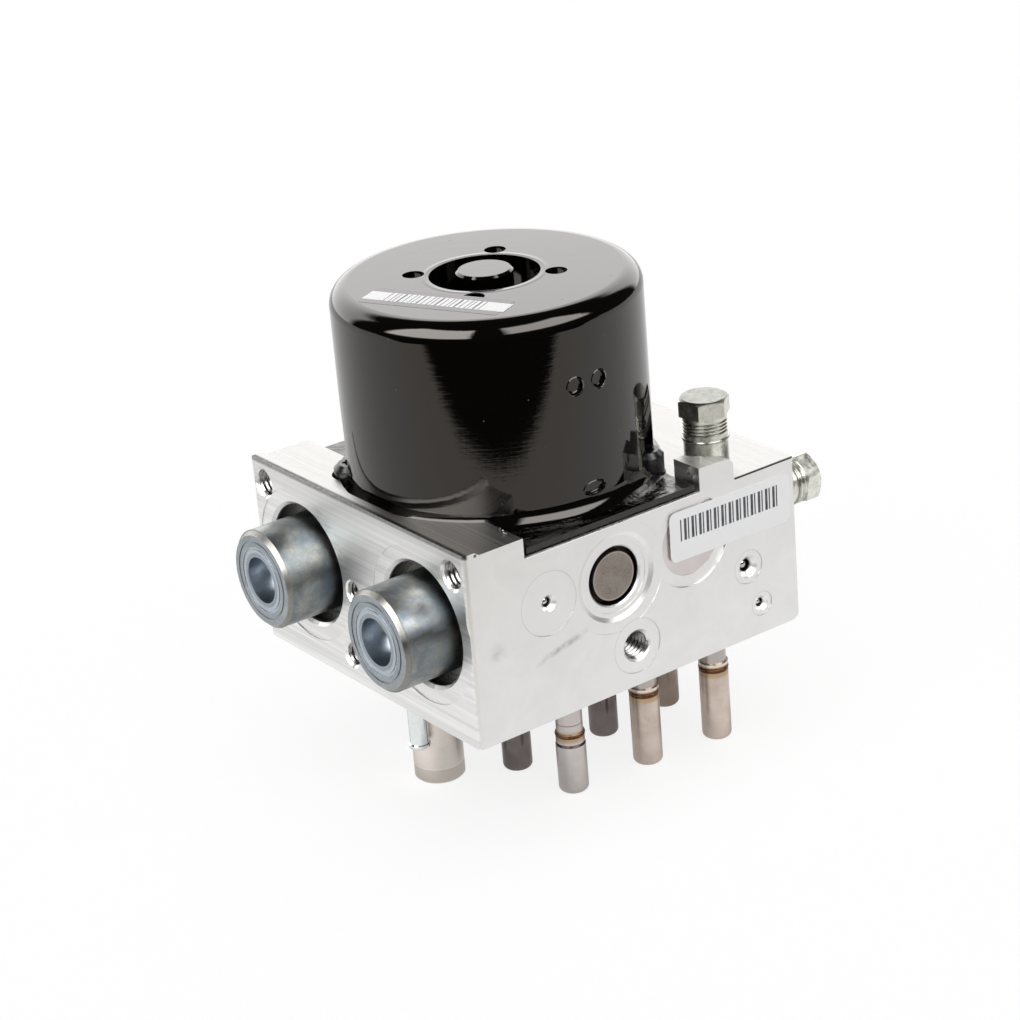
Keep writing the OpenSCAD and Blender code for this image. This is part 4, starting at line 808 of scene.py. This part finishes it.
film, tree, shader, place = new_material("label_film", 0.0, ior=1.5)
shader.inputs["Specular Tint"].default_value = (1.0, 0.9, 0.94, 1)
streaks = use_group(tree, patches, place, Scale=200.0, Contrast=2.0)["Mask"]
tree.links.new(blend(tree, streaks, (0.028, 0.016, 0.020), (0.045, 0.027, 0.033)),
               shader.inputs["Base Color"])
tree.links.new(between(tree, streaks, 0.12, 0.2), shader.inputs["Roughness"])
strip_turn = (0, 0, math.radians(-64.2))
finish_piece(label_plate((-20.2, -8.2, 97.3), (37, 10.4), 0.6, 0.04, strip_turn), "can_label_film",
             film)
finish_piece(label_plate((-20.2, -8.5, 97.34), (38, 5.5), 0.15, 0.03, strip_turn), "can_label",
             paper)
UNEVEN_BARS = [1, 5, 1, 3, 1, 4, 2, 4] * 5 + [1]
finish_piece(bar_row((-20.4, -8.1, 97.375), 25.5, 5.3, 0.012, strip_turn, UNEVEN_BARS), "can_label_bars",
             ink)


# Three steel screws with a black coat and star recesses hold the can's flange down in the block.
# Each stands in a scoop of the can's wall.

dress(plain_finish("black_coated_steel", (0.008, 0.008, 0.008), (0.02, 0.019, 0.019), (0.16, 0.28),
                   metallic=0.0, scale=500.0), "motor_screws")


# Two hexagon plugs with yellow passivated zinc close the ports on top and on the right. Their
# threads show above the block, and a ring of wire seals each.

plug_zinc, tree, shader, place = new_material("olive_zinc", 1.0)
mottled = use_group(tree, patches, place, Scale=520.0, Contrast=3.0)["Mask"]
pits = use_group(tree, specks, place, Scale=1500.0, Size=0.3, Share=0.25)["Mask"]
colour = blend(tree, mottled, (0.60, 0.60, 0.54), (0.88, 0.88, 0.81))
# Painted shade: the top plug's top face is painted much darker than its flanks
top_face_shade = strip_mask(tree, along(tree, place, (0, 0, 1)), 60.4, 61.5, 0.3)
colour = blend(tree, top_face_shade, colour, (0.265, 0.265, 0.24))
colour = blend(tree, times(tree, pits, 0.4), colour, (0.25, 0.245, 0.21))
set_surface(tree, shader, colour, between(tree, mottled, 0.26, 0.44), mottled, 0.00002)
dress(plug_zinc, "port_plug_top", "port_plug_side")
dress(plain_finish("ring_wire", (0.30, 0.30, 0.26), (0.50, 0.50, 0.45), (0.16, 0.3), scale=500.0),
      "port_plug_rings")
plug_thread_zinc = plain_finish("plug_thread_zinc", (0.42, 0.42, 0.36), (0.66, 0.66, 0.60), (0.16, 0.3),
                                scale=600.0)
finish_piece(thread((41.6, -29.5, 51.6), (0, 0, 0), 5.5, 5.95, 0.9, 4, steps=64), "top_plug_thread",
             plug_thread_zinc)
finish_piece(thread((61.4, -36.7, 33.75), to_right, 5.5, 5.95, 0.9, 1, steps=64), "side_plug_thread",
             plug_thread_zinc)


# The studio: a white table, a large white room with three soft fields of light, and the camera.
# Glossy metal sees the table, two fields in front and a lower one behind, which wraps round.

bpy.ops.object.select_all(action="DESELECT")
bpy.ops.mesh.primitive_plane_add(size=6.0, location=(0, 0, cad_box[0][2]))
floor = bpy.context.object
floor.name = "table_top"
bpy.ops.object.mode_set(mode="EDIT")
bpy.ops.mesh.subdivide(number_cuts=3)
bpy.ops.object.mode_set(mode="OBJECT")
bpy.ops.object.transform_apply(location=True, rotation=False, scale=False)


def mix_shaders(tree, factor, first, second):
    node = add_node(tree, "ShaderNodeMixShader")
    for socket, value in zip(node.inputs, (factor, first, second)):
        feed(tree, socket, value)
    return node.outputs[0]


table, tree, shader, place = new_material("white_table", 0.0)
shader.inputs["Base Color"].default_value = (0.82, 0.82, 0.82, 1)
shader.inputs["Roughness"].default_value = 0.9
path = add_node(tree, "ShaderNodeLightPath").outputs
white = add_node(tree, "ShaderNodeEmission", {"Color": (1, 1, 1, 1), "Strength": 1.125})
seen = add_node(tree, "ShaderNodeEmission")
toward = along(tree, place, (-0.574, -0.819, 0))
ragged = calc(tree, "MULTIPLY_ADD", noise(tree, place, 55.0, 4.0, 0.7), 0.022, toward)
edge = between(tree, ragged, 0.95, 0.02, 0.264, 0.274)
tree.links.new(blend(tree, between(tree, toward, 0.0, 1.0, 0.1, 0.2), (1, 1, 1), (1, 0.955, 0.90)),
               seen.inputs["Color"])
# Painted shadow: the sheet that metal sees is darker under the block, where the block shades the table
shade_under_block = times(tree, strip_mask(tree, along(tree, place, (1, 0, 0)), -50, 62, 14),
                    strip_mask(tree, along(tree, place, (0, 1, 0)), -48, 50, 14))
tree.links.new(times(tree, edge, between(tree, shade_under_block, 1.0, 0.6)), seen.inputs["Strength"])
# The camera sees the table as white with a soft shade; metal sees a lit sheet with a ragged end
reflected = mix_shaders(tree, path["Is Glossy Ray"], shader.outputs[0], seen.outputs[0])
to_camera = mix_shaders(tree, 0.72, shader.outputs[0], white.outputs[0])
tree.links.new(mix_shaders(tree, path["Is Camera Ray"], reflected, to_camera),
               tree.nodes["Material Output"].inputs["Surface"])
floor.data.materials.append(table)

world = bpy.data.worlds.new("white_room")
bpy.context.scene.world = world
world.use_nodes = True
tree = world.node_tree
path = add_node(tree, "ShaderNodeLightPath").outputs
split = add_node(tree, "ShaderNodeSeparateXYZ")
tree.links.new(add_node(tree, "ShaderNodeTexCoord").outputs["Generated"], split.inputs[0])
height = calc(tree, "ARCSINE", split.outputs["Z"])
around = calc(tree, "ARCTAN2", split.outputs["X"], calc(tree, "MULTIPLY", split.outputs["Y"], -1.0))


def window(value, low, high, soft):
    """1 between low and high, in degrees, falling to 0 over soft degrees on each side."""
    low_start, low_end, high_start, high_end = (
        math.radians(angle) for angle in (low - soft, low + soft, high - soft, high + soft))
    rise = between(tree, value, 0.0, 1.0, low_start, low_end, interpolation_type="SMOOTHSTEP")
    fall = between(tree, value, 1.0, 0.0, high_start, high_end, interpolation_type="SMOOTHSTEP")
    return calc(tree, "MULTIPLY", rise, fall)


# Strength, the two ends in azimuth and in height, and the soft margin, in degrees
fields = [times(tree, window(around, *azimuths, soft), window(height, *heights, soft), strength)
          for strength, azimuths, heights, soft in (
              (7.0, (-115, -50), (16, 62), 3.0), (5.5, (-22, 46), (24, 62), 4.0),
              (2.4, (100, 200), (-5, 40), 5.0), (2.4, (-200, -150), (-5, 40), 5.0))]
room = fields[0]
for extra in (*fields[1:], 0.03):
    room = calc(tree, "ADD", room, extra)
glossy_level = blend(tree, path["Is Glossy Ray"], 0.8, room, "FLOAT")
back = tree.nodes["Background"]
tree.links.new(blend(tree, path["Is Camera Ray"], glossy_level, 1.0, "FLOAT"), back.inputs["Strength"])
back.inputs["Color"].default_value = (1, 1, 1, 1)

azimuth, elevation, roll = math.radians(-35.021), math.radians(23.06), math.radians(-4.901)
back_way = Vector((math.sin(azimuth) * math.cos(elevation), -math.cos(azimuth) * math.cos(elevation),
                   math.sin(elevation)))
right = Vector((math.cos(azimuth), math.sin(azimuth), 0))
up = right.cross(-back_way)
right_way = right * math.cos(roll) + up * math.sin(roll)
up_way = up * math.cos(roll) - right * math.sin(roll)
bpy.ops.object.camera_add()
camera = bpy.context.object
camera.name = "photo_camera"
camera.matrix_world = Matrix((
    (right_way.x, up_way.x, back_way.x, -0.379652),
    (right_way.y, up_way.y, back_way.y, -0.543961),
    (right_way.z, up_way.z, back_way.z, 0.317137),
    (0, 0, 0, 1)))
camera.data.lens = 102.0
camera.data.sensor_width = 36.0
bpy.context.scene.camera = camera
bpy.context.scene.view_settings.view_transform = "Standard"
